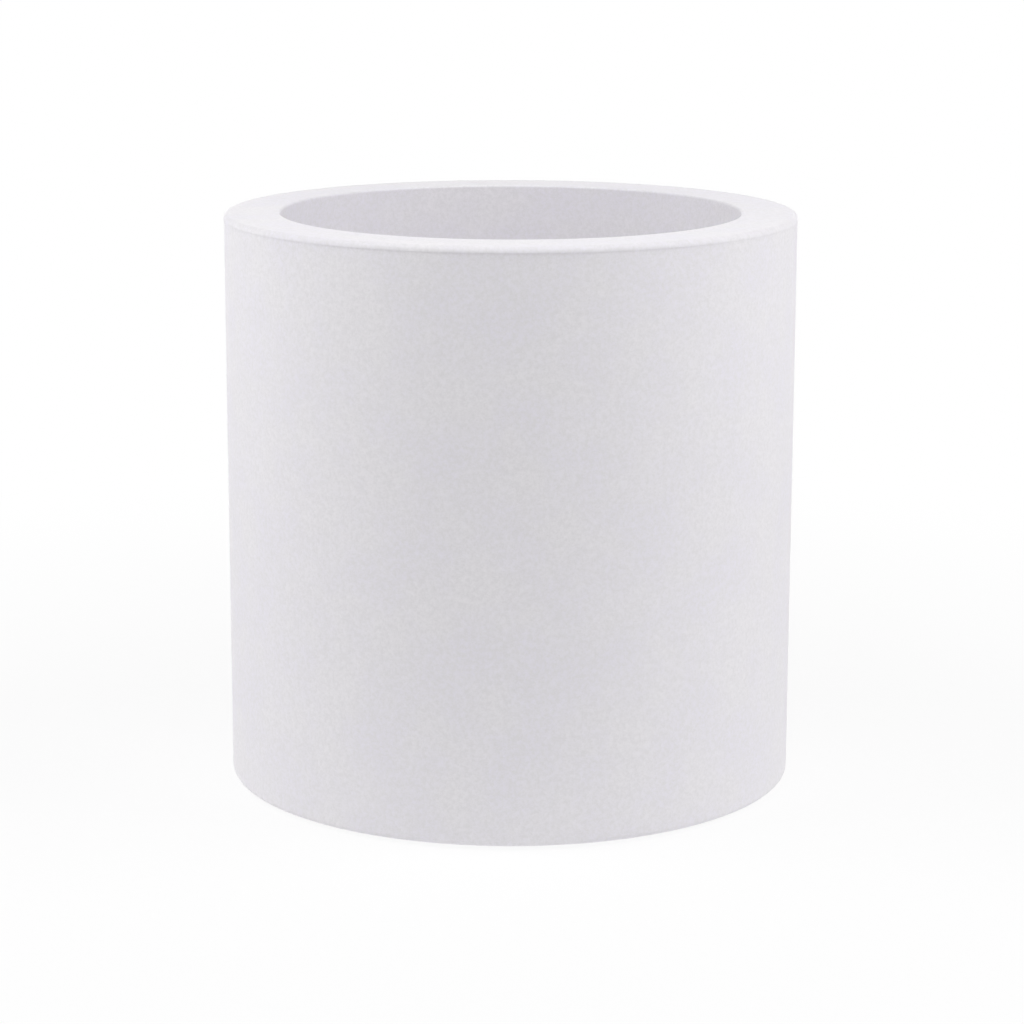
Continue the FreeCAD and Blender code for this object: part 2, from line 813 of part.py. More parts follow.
def led_chips():
    chip = slab(led_width, led_width, led_board_top, led_board_top + led_height)
    lens_top = led_board_top + led_height + led_lens_height
    chip = chip.fuse(disc(led_lens_diameter, led_board_top, lens_top))
    chips = []
    for share, count in zip(led_ring_shares, led_ring_counts):
        place = ACROSS * (led_board_diameter / 2 * share)
        chips += around(chip.translated(place), count, between=True)
    return chips


def led_board_screws():
    one = raised(screw(m3_screw, led_screw_length), led_board_top)
    return around(one.translated(ACROSS * led_screw_radius), led_screw_count)


def dome_seal():
    outer = 2 * ring_screw_radius - m4_screw.shank - 2 * (hole_gap + dome_seal_margin)
    return ring(outer, outer - 2 * dome_seal_width, plate_top, dome_bottom)


def diffuser_dome():
    outer = dome_diameter / 2
    inner = dome_bore / 2
    dome = turned([
        (inner, dome_bottom, 0),
        (lamp_flange_diameter / 2, dome_bottom, 0),
        (lamp_flange_diameter / 2, dome_flange_top, 0),
        (outer, dome_flange_top, 0),
        (outer, dome_top, dome_shoulder_round),
        (0, dome_top, 0),
        (0, dome_top - dome_wall, 0),
        (inner, dome_top - dome_wall, dome_shoulder_round - dome_wall),
    ])
    hole = clear_hole(m4_screw, dome_bottom - overrun, dome_flange_top + overrun, ring_screw_radius)
    return dome.cut(around(hole, ring_screw_count, between=True))


def dome_ring():
    inner = dome_diameter + 2 * dome_ring_gap
    hoop = ring(lamp_flange_diameter, inner, dome_flange_top, dome_ring_top)
    hole = clear_hole(m4_screw, dome_flange_top - overrun, dome_ring_top + overrun, ring_screw_radius)
    return hoop.cut(around(hole, ring_screw_count, between=True))


def ring_screws():
    length = dome_ring_top - tub_top + tub_flange_thickness
    one = raised(screw(m4_screw, length), dome_ring_top)
    return around(one.translated(ACROSS * ring_screw_radius), ring_screw_count, between=True)


def lead_grommet():
    bore = grommet_bore_diameter / 2
    neck = lead_hole_diameter / 2
    lip = neck + grommet_lip_width
    return turned([
        (bore, plate_bottom - grommet_lip_height, 0),
        (lip, plate_bottom - grommet_lip_height, grommet_lip_height / 2),
        (lip, plate_bottom, 0),
        (neck, plate_bottom, 0),
        (neck, plate_top, 0),
        (lip, plate_top, 0),
        (lip, plate_top + grommet_lip_height, grommet_lip_height / 2),
        (bore, plate_top + grommet_lip_height, 0),
    ])


# Battery
def cell_places():
    first = -cell_pitch * (cell_count - 1) / 2
    return [first + cell_pitch * i for i in range(cell_count)]


def foam_pad():
    return slab(cradle_width - 2 * cradle_wall, cradle_inner_length, tub_floor, cradle_bottom)


def cell_cradle():
    plate = slab(2 * post_x + post_diameter, 2 * post_y + post_diameter, cradle_bottom, cradle_deck)
    saddle_top = cradle_deck + cell_diameter * cradle_saddle_share
    saddle = slab(cradle_width, cradle_length, cradle_bottom, saddle_top)
    clamp_post = slab(clamp_post_width, clamp_width, cradle_bottom, clamp_bottom)
    posts = [clamp_post.translated(ACROSS * x) for x in (-clamp_screw_x, clamp_screw_x)]
    board_post = disc(post_diameter, cradle_bottom, board_bottom)
    posts += four(board_post, post_x, post_y)
    cradle = plate.multiFuse([saddle] + posts)
    cuts = []
    for x in cell_places():
        start = Vector(x, -cradle_inner_length / 2, cell_level)
        cuts.append(Part.makeCylinder(cell_diameter / 2 + cell_play, cradle_inner_length, start, BACK))
    for x in (-clamp_screw_x, clamp_screw_x):
        cuts.append(threaded_hole(m3_screw, clamp_bottom - m3_grip - tip_gap, clamp_bottom + overrun, x))
    hole = threaded_hole(m3_screw, board_bottom - m3_grip - tip_gap, board_bottom + overrun)
    cuts += four(hole, post_x, post_y)
    return cradle.cut(cuts)


def battery_cells():
    outer = cell_diameter / 2
    neck = outer - cell_groove_depth
    end = cell_length / 2
    groove_top = end - cell_groove_inset
    groove_low = groove_top - cell_groove_width
    cell = turned([
        (0, -end, 0),
        (outer, -end, cell_groove_depth),
        (outer, groove_low, 0),
        (neck, groove_low, 0),
        (neck, groove_top, 0),
        (outer, groove_top, 0),
        (outer, end, cell_groove_depth),
        (0, end, 0),
    ])
    cells = []
    for i, x in enumerate(cell_places()):
        turn = -90 if i % 2 == 0 else 90
        cells.append(cell.rotated(ORIGIN, ACROSS, turn).translated(Vector(x, 0, cell_level)))
    return cells


def link(first_x, last_x, end):
    """Nickel strip across the ends of the cells from one place to another."""
    width = last_x - first_x + 2 * link_overlap
    middle = (first_x + last_x) / 2
    y = end * (cell_length + link_thickness) / 2
    low = cell_level - link_width / 2
    return slab(width, link_thickness, low, low + link_width, middle, y)


def cell_links():
    places = cell_places()
    links = []
    for i in range(cell_count - 1):
        end = 1 if i % 2 == 0 else -1
        links.append(link(places[i], places[i + 1], end))
    links.append(link(places[0], places[0], -1))
    links.append(link(places[-1], places[-1], -1 if cell_count % 2 == 0 else 1))
    return links


def cell_clamp():
    length = 2 * clamp_screw_x + clamp_post_width
    bar = slab(length, clamp_width, clamp_bottom, clamp_top)
    holes = [
        clear_hole(m3_screw, clamp_bottom - overrun, clamp_top + overrun, x)
        for x in (-clamp_screw_x, clamp_screw_x)
    ]
    return bar.cut(holes)


def cradle_screws():
    clamp_screw = raised(screw(m3_screw, clamp_thickness + m3_grip), clamp_top)
    screws = [clamp_screw.translated(ACROSS * x) for x in (-clamp_screw_x, clamp_screw_x)]
    board_screw = raised(screw(m3_screw, board_thickness + m3_grip), board_top)
    return screws + four(board_screw, post_x, post_y)


# Control board
def control_board():
    board = slab(board_width, board_length, board_bottom, board_top)
    hole = clear_hole(m3_screw, board_bottom - overrun, board_top + overrun)
    return board.cut(four(hole, post_x, post_y))


def board_places(shares):
    return [Vector(x * board_width, y * board_length, 0) for x, y in shares]


def board_parts():
    chip = slab(chip_width, chip_width, board_top, board_top + chip_height)
    can = disc(can_diameter, board_top, board_top + can_height)
    coil = slab(coil_width, coil_width, board_top, board_top + coil_height)
    parts = [chip.translated(p) for p in board_places(chip_place_shares)]
    parts += [can.translated(p) for p in board_places(can_place_shares)]
    return parts + [coil.translated(p) for p in board_places(coil_place_shares)]


def terminal_blocks():
    top = board_top + terminal_height
    block = slab(terminal_width, terminal_depth, board_top, top)
    block = block.cut(disc(terminal_screw_diameter, top - terminal_screw_depth, top + overrun))
    ends = [Vector(cell_places()[0], -terminal_y, 0), Vector(cell_places()[-1], -terminal_y, 0)]
    ends += [Vector(x, terminal_y, 0) for x in (-device_x, device_x)]
    centre = slab(terminal_width, terminal_depth, board_top, top)
    return [block.translated(place) for place in ends] + [centre]


def battery_leads():
    tab_face = -(cell_length / 2 + link_thickness)
    turn = -(board_length / 2 + lead_reach)
    leads = []
    for x in (cell_places()[0], cell_places()[-1]):
        points = [
            Vector(x, tab_face, cell_level),
            Vector(x, turn, cell_level),
            Vector(x, turn, terminal_level),
            Vector(x, -terminal_face, terminal_level),
        ]
        leads.append(lead(points, lead_diameter))
    return leads


def led_leads():
    start = board_top + terminal_height
    stop = plate_top + grommet_lip_height
    half = lead_spacing / 2
    leads = []
    for side in (-1, 1):
        points = [
            Vector(side * half, 0, start),
            Vector(side * half, 0, stop + lead_reach),
            Vector(side * (lead_hole_diameter + lead_reach), 0, stop + lead_reach),
            Vector(side * (lead_hole_diameter + lead_reach), 0, led_board_top),
        ]
        leads.append(lead(points, lead_diameter))
    return leads


# Cables and glands
def gland_body():
    """Gland with its seat at z = 0 and its thread below."""
    thread = disc(gland_thread_diameter, -gland_pad_depth, 0)
    head = hexagon(gland_body_width, 0, gland_body_height)
    collar = disc(gland_collar_diameter, 0, gland_shoulder)
    bore = disc(cable_diameter + 2 * fit_gap, -gland_pad_depth - overrun, gland_shoulder + overrun)
    return head.multiFuse([thread, collar]).cut(bore)


def gland_cap():
    low = gland_body_height + gland_cap_gap
    outer = gland_cap_diameter / 2
    seat = gland_collar_diameter / 2 + thread_gap
    bore = cable_diameter / 2 + hole_gap
    return turned([
        (seat, low, 0),
        (outer, low, 0),
        (outer, gland_tip, gland_tail_height / 2),
        (bore, gland_tip, 0),
        (bore, gland_shoulder + fit_gap, 0),
        (seat, gland_shoulder + fit_gap, 0),
    ])


def at_glands(shape):
    """Place copies of a shape made along Z at both glands, its Z turned to the rear."""
    turned_back = shape.rotated(ORIGIN, ACROSS, -90)
    places = [Vector(x, gland_pad_face, terminal_level) for x in (-device_x, device_x)]
    return [turned_back.translated(place) for place in places]


def cable_turns(stop):
    """Places along Y where a cable turns between its gland and the panel."""
    out = gland_pad_face + gland_tip
    return [out + (stop - out) * share for share in cable_run_shares]


def cable(x, stop):
    """Cable from a terminal block through its gland, along the base and up to the panel."""
    turns = cable_turns(stop)
    return lead([
        Vector(x, terminal_face, terminal_level),
        Vector(x, turns[0], terminal_level),
        Vector(x, turns[1], cable_level),
        Vector(x, turns[2], cable_level),
        Vector(x, turns[3], pocket_level),
        Vector(x, stop, pocket_level),
    ], cable_diameter, cable_bend_share)


def switch_cable():
    return cable(-BUTTON_X, pocket_face + switch_back)


def charge_cable():
    return cable(-SOCKET_X, pocket_face + socket_back)


def cable_clips():
    height = 2 * clip_wall + cable_diameter
    clips = []
    for x, stop in ((-BUTTON_X, pocket_face + switch_back), (-SOCKET_X, pocket_face + socket_back)):
        turns = cable_turns(stop)
        y = (turns[1] + turns[2]) / 2
        block = slab(clip_width, clip_length, deck_level, deck_level + height, x, y)
        start = Vector(x, y - clip_length / 2 - overrun, cable_level)
        bore = Part.makeCylinder(cable_diameter / 2 + fit_gap, clip_length + 2 * overrun, start, BACK)
        clips.append(block.cut(bore))
    return clips


# Rear controls
def panel_outline(margin, low, high):
    return rounded_slab(panel_width - 2 * margin, panel_height - 2 * margin, pocket_round - margin, low, high)


def control_panel():
    panel = panel_outline(0, panel_back, panel_front)
    rim = [edge for edge in panel.Edges if abs(edge.BoundBox.ZMin - panel_front) < fit_gap]
    panel = panel.makeFillet(panel_edge_round, rim)
    low = panel_back - overrun
    high = panel_front + overrun
    cuts = four(clear_hole(m4_screw, low, high), panel_screw_x, panel_screw_y)
    cuts.append(disc(button_barrel_diameter + 2 * hole_gap, low, high, BUTTON_X))
    cuts.append(disc(socket_barrel_diameter + 2 * hole_gap, low, high, SOCKET_X))
    cuts.append(disc(charge_lens_stem + 2 * fit_gap, low, high, 0, charge_lens_lift))
    return on_panel(panel.cut(cuts))


def panel_gasket():
    gasket = panel_outline(panel_gasket_margin, 0, panel_back)
    cuts = four(clear_hole(m4_screw, -overrun, panel_back + overrun), panel_screw_x, panel_screw_y)
    cuts.append(rounded_slab(window_width, window_height, window_round, -overrun, panel_back + overrun))
    return on_panel(gasket.cut(cuts))


def panel_screws():
    one = raised(screw(m4_screw, panel_screw_length), panel_front)
    return [on_panel(s) for s in four(one, panel_screw_x, panel_screw_y)]


def device_nut(thread):
    low = panel_back - device_nut_thickness
    nut = hexagon(thread + 2 * device_nut_wall, low, panel_back)
    return nut.cut(disc(thread + 2 * thread_gap, low - overrun, panel_back + overrun))


def button_housing():
    bezel = button_bezel_diameter / 2
    barrel = button_barrel_diameter / 2
    bore = button_bore_diameter / 2
    mouth = button_cap_diameter / 2 + slide_gap
    return on_panel(turned([
        (0, button_back, 0),
        (barrel, button_back, 0),
        (barrel, device_face, 0),
        (bezel, device_face, 0),
        (bezel, button_top, button_bezel_round),
        (mouth, button_top, 0),
        (mouth, button_lip, 0),
        (bore, button_lip, 0),
        (bore, button_bore_floor, 0),
        (0, button_bore_floor, 0),
    ]), BUTTON_X)


def button_seal():
    inner = button_barrel_diameter + 2 * hole_gap
    outer = button_bezel_diameter - 2 * button_bezel_round
    return on_panel(ring(outer, inner, panel_front, device_face), BUTTON_X)


def button_nut():
    return on_panel(device_nut(button_barrel_diameter), BUTTON_X)


def button_cap():
    return on_panel(turned([
        (0, button_skirt_low, 0),
        (button_skirt_diameter / 2, button_skirt_low, 0),
        (button_skirt_diameter / 2, button_skirt_top, 0),
        (button_cap_diameter / 2, button_skirt_top, 0),
        (button_cap_diameter / 2, button_top + button_cap_stand, button_cap_round),
        (0, button_top + button_cap_stand, 0),
    ]), BUTTON_X)


def button_boot():
    """Silicone boot between the bore's floor and the cap, which pushes the cap back out."""
    base = button_skirt_diameter / 2
    crown = base * boot_crown_share
    high = button_skirt_low - fit_gap
    return on_panel(turned([
        (base - boot_wall, button_bore_floor, 0),
        (base, button_bore_floor, 0),
        (crown, high, 0),
        (crown - boot_wall, high, 0),
    ]), BUTTON_X)


def switch_block():
    body = disc(switch_diameter, switch_back, button_back)
    blade = slab(switch_blade_width, switch_blade_thickness, switch_back - switch_blade_length, button_back)
    half = switch_blade_spacing / 2
    return on_panel(body.multiFuse([blade.translated(BACK * y) for y in (-half, half)]), BUTTON_X)


def socket_body():
    flange = disc(socket_flange_diameter, device_face, socket_front)
    barrel = disc(socket_barrel_diameter, socket_back, device_face)
    ear_reach = hinge_pin_diameter / 2 + ear_wall
    ear_low = hinge_height - knuckle_diameter / 2 - ear_root
    ears = []
    for side in (-1, 1):
        x = side * (knuckle_width / 2 + slide_gap + ear_width / 2)
        root = hinge_height + ear_reach - ear_low
        ears.append(slab(ear_width, root, device_face, socket_front, x, ear_low + root / 2))
        ears.append(slab(ear_width, 2 * ear_reach, device_face, hinge_level, x, hinge_height))
        start = Vector(x - ear_width / 2, hinge_height, hinge_level)
        ears.append(Part.makeCylinder(ear_reach, ear_width, start, ACROSS))
    body = flange.multiFuse([barrel] + ears)
    width = knuckle_width + 2 * (slide_gap + ear_width + overrun)
    cuts = [
        disc(socket_recess_diameter, socket_floor, socket_front + overrun),
        cross_rod(hinge_pin_diameter + 2 * fit_gap, width, hinge_height, hinge_level),
    ]
    for x in (-socket_pin_spacing / 2, socket_pin_spacing / 2):
        cuts.append(disc(socket_pin_diameter + 2 * fit_gap, socket_back - overrun, socket_floor + overrun, x))
    return on_panel(body.cut(cuts), SOCKET_X)


def socket_seal():
    inner = socket_barrel_diameter + 2 * hole_gap
    outer = socket_flange_diameter - socket_flange_height
    return on_panel(ring(outer, inner, panel_front, device_face), SOCKET_X)


def socket_nut():
    return on_panel(device_nut(socket_barrel_diameter), SOCKET_X)


def socket_pins():
    pins = []
    for x in (-socket_pin_spacing / 2, socket_pin_spacing / 2):
        pin = disc(socket_pin_diameter, socket_back - socket_pin_tail, socket_floor + socket_pin_height, x)
        pins.append(on_panel(pin, SOCKET_X))
    return pins


def socket_lid():
    plate = disc(lid_diameter, lid_back, lid_back + lid_thickness)
    rim = [edge for edge in plate.Edges if abs(edge.BoundBox.ZMin - lid_back - lid_thickness) < fit_gap]
    plate = plate.makeFillet(lid_edge_round, rim)
    arm_low = lid_diameter / 2 - knuckle_width / 2
    arm = slab(
        knuckle_width, hinge_height - arm_low, lid_back, lid_back + lid_thickness - lid_edge_round, 0,
        (hinge_height + arm_low) / 2,
    )
    knuckle = cross_rod(knuckle_diameter, knuckle_width, hinge_height, hinge_level)
    bore = cross_rod(hinge_pin_diameter + 2 * pin_gap, knuckle_width + 2 * overrun, hinge_height, hinge_level)
    return on_panel(plate.multiFuse([arm, knuckle]).cut(bore), SOCKET_X)


def lid_seal():
    outer = socket_recess_diameter - 2 * lid_seal_gap
    return on_panel(disc(outer, lid_back - lid_seal_height, lid_back), SOCKET_X)


def lid_pin():
    width = knuckle_width + 2 * (slide_gap + ear_width)
    return on_panel(cross_rod(hinge_pin_diameter, width, hinge_height, hinge_level), SOCKET_X)


def charge_lens():
    lens = turned([
        (0, panel_back, 0),
        (charge_lens_stem / 2, panel_back, 0),
        (charge_lens_stem / 2, panel_front, 0),
        (charge_lens_diameter / 2, panel_front, 0),
        (charge_lens_diameter / 2, panel_front + charge_lens_height, charge_lens_height / 2),
        (0, panel_front + charge_lens_height, 0),
    ])
    return on_panel(lens.translated(BACK * charge_lens_lift))


# Drain
def at_drain(shape):
    return shape.translated(ACROSS * -drain_offset)


def drain_fitting():
    bore = drain_bore_diameter / 2
    barrel = drain_barrel_diameter / 2
    tail = drain_tail_diameter / 2
    flange = drain_flange_diameter / 2
    return at_drain(turned([
        (bore, drain_nut_bottom - drain_tail_length, 0),
        (tail, drain_nut_bottom - drain_tail_length, 0),
        (tail, drain_nut_bottom, 0),
        (barrel, drain_nut_bottom, 0),
        (barrel, drain_flange_bottom, 0),
        (flange, drain_flange_bottom, 0),
        (flange, drain_flange_top, drain_flange_round),
        (bore, drain_flange_top, 0),
    ]))


def drain_seal():
    inner = drain_barrel_diameter + 2 * hole_gap
    return at_drain(ring(inner + 2 * drain_seal_width, inner, floor_level, drain_flange_bottom))


def drain_nut():
    nut = hexagon(drain_nut_width, drain_nut_bottom, floor_level - skin)
    return at_drain(nut.cut(disc(
        drain_barrel_diameter + 2 * thread_gap, drain_nut_bottom - overrun, floor_level - skin + overrun,
    )))


def drain_tube():
    return at_drain(ring(outlet_bore, drain_tube_bore, drain_tube_bottom, drain_nut_bottom))


def outlet_grommet():
    bore = outlet_bore / 2 + fit_gap
    neck = outlet_hole / 2
    lip = outlet_flange / 2
    return at_drain(turned([
        (bore, recess_level - outlet_lip_height, 0),
        (lip, recess_level - outlet_lip_height, outlet_lip_height / 2),
        (lip, recess_level, 0),
        (neck, recess_level, 0),
        (neck, deck_level, 0),
        (lip, deck_level, 0),
        (lip, deck_level + outlet_lip_height, outlet_lip_height / 2),
        (bore, deck_level + outlet_lip_height, 0),
    ]))


def drain_plug():
    stem = drain_bore_diameter / 2 - slide_gap
    head = plug_head_diameter / 2
    head_top = drain_flange_top + plug_head_height
    plug = turned([
        (0, drain_flange_top - plug_stem_length, 0),
        (stem * plug_taper_share, drain_flange_top - plug_stem_length, 0),
        (stem, drain_flange_top, 0),
        (head, drain_flange_top, 0),
        (head, head_top, plug_head_round),
        (0, head_top, 0),
    ])
    tab = slab(plug_tab_thickness, plug_tab_width, drain_flange_top, head_top + plug_tab_height)
    crown = [edge for edge in tab.Edges if abs(edge.BoundBox.ZMin - head_top - plug_tab_height) < fit_gap]
    return at_drain(plug.fuse(tab.makeFillet(plug_tab_round, crown)))


nodes = {
    "outer_shell": outer_shell(),
    "planting_bowl": planting_bowl(),
    "hatch_inserts": hatch_inserts(),
    "panel_inserts": panel_inserts(),
    "foot_pads": foot_pads(),
    "base_hatch": base_hatch(),
    "hatch_gasket": hatch_gasket(),
    "hatch_screws": hatch_screws(),
    "vent_plug": vent_plug(),
    "lamp_tub": lamp_tub(),
    "tub_screws": tub_screws(),
    "tub_seal": tub_seal(),
    "heat_plate": heat_plate(),
    "led_board": led_board(),
    "led_chips": led_chips(),
    "led_board_screws": led_board_screws(),
    "dome_seal": dome_seal(),
    "diffuser_dome": diffuser_dome(),
    "dome_ring": dome_ring(),
    "ring_screws": ring_screws(),
    "lead_grommet": lead_grommet(),
    "foam_pad": foam_pad(),
    "cell_cradle": cell_cradle(),
    "battery_cells": battery_cells(),
    "cell_links": cell_links(),
    "cell_clamp": cell_clamp(),
    "cradle_screws": cradle_screws(),
    "control_board": control_board(),
    "board_parts": board_parts(),
    "terminal_blocks": terminal_blocks(),
    "battery_leads": battery_leads(),
    "led_leads": led_leads(),
    "gland_bodies": at_glands(gland_body()),
    "gland_caps": at_glands(gland_cap()),
    "switch_cable": switch_cable(),
    "charge_cable": charge_cable(),
    "cable_clips": cable_clips(),
    "control_panel": control_panel(),
    "panel_gasket": panel_gasket(),
    "panel_screws": panel_screws(),
    "button_housing": button_housing(),
    "button_seal": button_seal(),
    "button_nut": button_nut(),
    "button_cap": button_cap(),
    "button_boot": button_boot(),
    "switch_block": switch_block(),
    "socket_body": socket_body(),
    "socket_seal": socket_seal(),
    "socket_nut": socket_nut(),
    "socket_pins": socket_pins(),
    "socket_lid": socket_lid(),
    "lid_seal": lid_seal(),
    "lid_pin": lid_pin(),
    "charge_lens": charge_lens(),
    "drain_fitting": drain_fitting(),
    "drain_seal": drain_seal(),
    "drain_nut": drain_nut(),
    "drain_tube": drain_tube(),
    "outlet_grommet": outlet_grommet(),
    "drain_plug": drain_plug(),
}

os.makedirs("parts", exist_ok=True)
for name, made in nodes.items():
    shape = Part.makeCompound(made) if isinstance(made, list) else made
    shape.exportStep("parts/" + name + ".step")
    print(name, len(shape.Solids), round(shape.Volume), shape.isValid())
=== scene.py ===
import json
import math

import bmesh
import bpy
from mathutils import Matrix, Vector


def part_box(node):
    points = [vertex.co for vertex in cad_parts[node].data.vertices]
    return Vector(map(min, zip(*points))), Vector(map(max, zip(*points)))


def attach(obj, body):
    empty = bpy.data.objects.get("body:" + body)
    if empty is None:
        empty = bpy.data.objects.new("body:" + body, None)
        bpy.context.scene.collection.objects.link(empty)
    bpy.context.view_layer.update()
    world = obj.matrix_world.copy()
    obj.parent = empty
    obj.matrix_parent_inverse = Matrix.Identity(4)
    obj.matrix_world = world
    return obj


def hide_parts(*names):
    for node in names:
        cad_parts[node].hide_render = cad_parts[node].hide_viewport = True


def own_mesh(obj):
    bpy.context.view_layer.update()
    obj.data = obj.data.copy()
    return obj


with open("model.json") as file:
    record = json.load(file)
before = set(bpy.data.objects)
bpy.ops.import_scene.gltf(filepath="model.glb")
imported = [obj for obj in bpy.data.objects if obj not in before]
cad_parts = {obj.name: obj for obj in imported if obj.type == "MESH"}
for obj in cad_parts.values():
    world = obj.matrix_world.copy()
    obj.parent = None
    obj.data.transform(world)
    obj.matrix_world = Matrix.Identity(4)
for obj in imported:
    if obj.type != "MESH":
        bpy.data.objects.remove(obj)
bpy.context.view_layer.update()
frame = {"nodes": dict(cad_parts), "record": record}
nodes = frame["nodes"]


class Wire:  # a shader socket that can stand in a sum
    def __init__(self, tree, socket=None):
        self.tree = tree
        self.socket = socket

    def node(self, kind, settings=None, sockets=None, out=0):
        made = self.tree.nodes.new(kind)
        for name, value in (settings or {}).items():
            setattr(made, name, value)
        for name, value in (sockets or {}).items():
            if isinstance(value, Wire):
                self.tree.links.new(value.socket, made.inputs[name])
            else:
                made.inputs[name].default_value = value
        return Wire(self.tree, made.outputs[out])

    def sum(self, operation, *terms):
        return self.node("ShaderNodeMath", {"operation": operation}, dict(enumerate(terms)))

    def __add__(self, other):
        return self.sum("ADD", self, other)

    def __sub__(self, other):
        return self.sum("SUBTRACT", self, other)

    def __rsub__(self, other):
        return self.sum("SUBTRACT", other, self)

    def __mul__(self, other):
        return self.sum("MULTIPLY", self, other)

    def __gt__(self, other):
        return self.sum("GREATER_THAN", self, other)

    def __lt__(self, other):
        return self.sum("LESS_THAN", self, other)

    def __abs__(self):
        return self.sum("ABSOLUTE", self)

    __radd__ = __add__
    __rmul__ = __mul__

    def within(self, low, high):  # 0 below low, 1 above high, soft between
        return self.node("ShaderNodeMapRange", {"interpolation_type": "SMOOTHSTEP"},
                         {"Value": self, "From Min": low, "From Max": high})

    def noise(self, scale, detail=2.0, rough=0.5):
        return self.node("ShaderNodeTexNoise", None,
                         {"Vector": self, "Scale": scale, "Detail": detail, "Roughness": rough}, "Fac")

    def cells(self, scale):
        return self.node("ShaderNodeTexVoronoi", None, {"Vector": self, "Scale": scale}, "Distance")

    def stretched(self, scale):
        return self.node("ShaderNodeMapping", None, {"Vector": self, "Scale": scale})

    def vector(self, operation, other):
        return self.node("ShaderNodeVectorMath", {"operation": operation}, {0: self, 1: other})

    def length(self):
        return self.node("ShaderNodeVectorMath", {"operation": "LENGTH"}, {0: self}, "Value")

    def axis(self, name):
        return self.node("ShaderNodeSeparateXYZ", None, {"Vector": self}, name)

    def blend(self, under, over):  # self picks between two colours
        return self.node("ShaderNodeMix", {"data_type": "RGBA"}, {0: self, 6: under, 7: over}, 2)

    def bump(self, depth, strength, over=None):  # over is a bump that this one sits on
        sockets = {"Height": self, "Distance": depth, "Strength": strength}
        if over:
            sockets["Normal"] = over
        return self.node("ShaderNodeBump", None, sockets)


def startFinish(name, fixed):
    finish = bpy.data.materials.new(name)
    finish.use_nodes = True
    shader = finish.node_tree.nodes["Principled BSDF"]
    for socket, value in fixed.items():
        shader.inputs[socket].default_value = value
    place = Wire(finish.node_tree).node("ShaderNodeTexCoord", out="Object")
    return finish, shader, place


def dress(shader, varying):
    for socket, wire in varying.items():
        wire.tree.links.new(wire.socket, shader.inputs[socket])


def tone(colour, share=1.0):
    return tuple(min(1.0, part * share) for part in colour) + (1.0,)


def mixed(wires, shares):
    return sum(wire * share for wire, share in zip(wires, shares))


def between(limits, level):  # goes from one limit to the other as the level goes from 0 to 1
    low, high = limits
    return low + (high - low) * level


polyethyleneLook = {  # here and below, a noise is scale, detail and roughness
    "colour": (0.892, 0.875, 0.900), "gloss": 0.2, "rough": (0.56, 0.7),
    "clouds": (14.0, 4.0, 0.6), "cloudSpread": (0.34, 0.66), "cloudColour": (0.868, 0.847, 0.914),
    "powder": (235.0, 3.0, 0.85), "powderSpread": (0.3, 0.7), "powderShare": 0.91,
    "specks": (620.0, 2.0, 0.6), "speckSpread": (0.56, 0.72), "speckShare": 0.965, "speckStrength": 0.8,
    "scuffs": (1.0, 4.0, 0.65), "scuffStretch": (60, 60, 240), "scuffSpread": (0.45, 0.75),
    "scuffShare": 0.955, "scuffLevels": (0.004, 0.02),     # scuffs fade out 2 cm above the floor
    "wear": (48.0, 3.0), "roughShares": (0.6, 0.4),
    "peel": (230.0, 2.0), "peelDepth": 0.00016, "peelStrength": 0.5,     # orange peel of the moulded skin
    "grain": (900.0, 2.0, 0.6), "grainDepth": 0.00007, "grainStrength": 1.0,
}


def polyethyleneFinish(look):
    finish, shader, place = startFinish("polyethyleneShell", {"Specular IOR Level": look["gloss"]})
    colour = look["colour"]
    clouds = place.noise(*look["clouds"]).within(*look["cloudSpread"])
    ground = clouds.blend(tone(look["cloudColour"]), tone(colour))
    powder = place.noise(*look["powder"]).within(*look["powderSpread"])
    mottled = powder.blend(ground, tone(colour, look["powderShare"]))
    specks = place.noise(*look["specks"])
    dots = specks.within(*look["speckSpread"]) * look["speckStrength"]
    dotted = dots.blend(mottled, tone(colour, look["speckShare"]))
    nearFloor = 1 - place.axis("Z").within(*look["scuffLevels"])
    scuffs = nearFloor * place.stretched(look["scuffStretch"]).noise(*look["scuffs"])
    worn = scuffs.within(*look["scuffSpread"]).blend(dotted, tone(colour, look["scuffShare"]))
    rough = between(look["rough"], mixed((place.noise(*look["wear"]), specks), look["roughShares"]))
    peel = place.noise(*look["peel"]).bump(look["peelDepth"], look["peelStrength"])
    grain = place.noise(*look["grain"]).bump(look["grainDepth"], look["grainStrength"], peel)
    dress(shader, {"Base Color": worn, "Roughness": rough, "Normal": grain})
    return finish


mouldedBase = {
    "gloss": 0.4, "grain": (1800.0, 3.0, 0.6), "depth": 0.00006, "strength": 0.6, "roughShares": (0.5, 0.5),
    "flow": (1.0, 3.0), "flowStretch": (22, 60, 22), "flowSpread": (0.3, 0.7), "flowShare": 0.93,
    "fleckSpread": (0.55, 0.8), "fleckStrength": 0.5, "fleckShare": 1.12,
}


def mouldedFinish(name, own):  # spark-textured plastic with a slight flow pattern
    look = {**mouldedBase, **own}
    finish, shader, place = startFinish(name, {"Specular IOR Level": look["gloss"]})
    colour = look["colour"]
    grain = place.noise(*look["grain"])
    flow = place.stretched(look["flowStretch"]).noise(*look["flow"])
    ground = flow.within(*look["flowSpread"]).blend(tone(colour, look["flowShare"]), tone(colour))
    flecks = grain.within(*look["fleckSpread"]) * look["fleckStrength"]
    dress(shader, {
        "Base Color": flecks.blend(ground, tone(colour, look["fleckShare"])),
        "Roughness": between(look["rough"], mixed((flow, grain), look["roughShares"])),
        "Normal": grain.bump(look["depth"], look["strength"])})
    return finish


rubberBase = {
    "gloss": 0.25, "pores": 1500.0, "depth": 0.00005, "strength": 0.5,
    "dust": (90.0, 4.0, 0.65), "dustSpread": (0.42, 0.7),
}


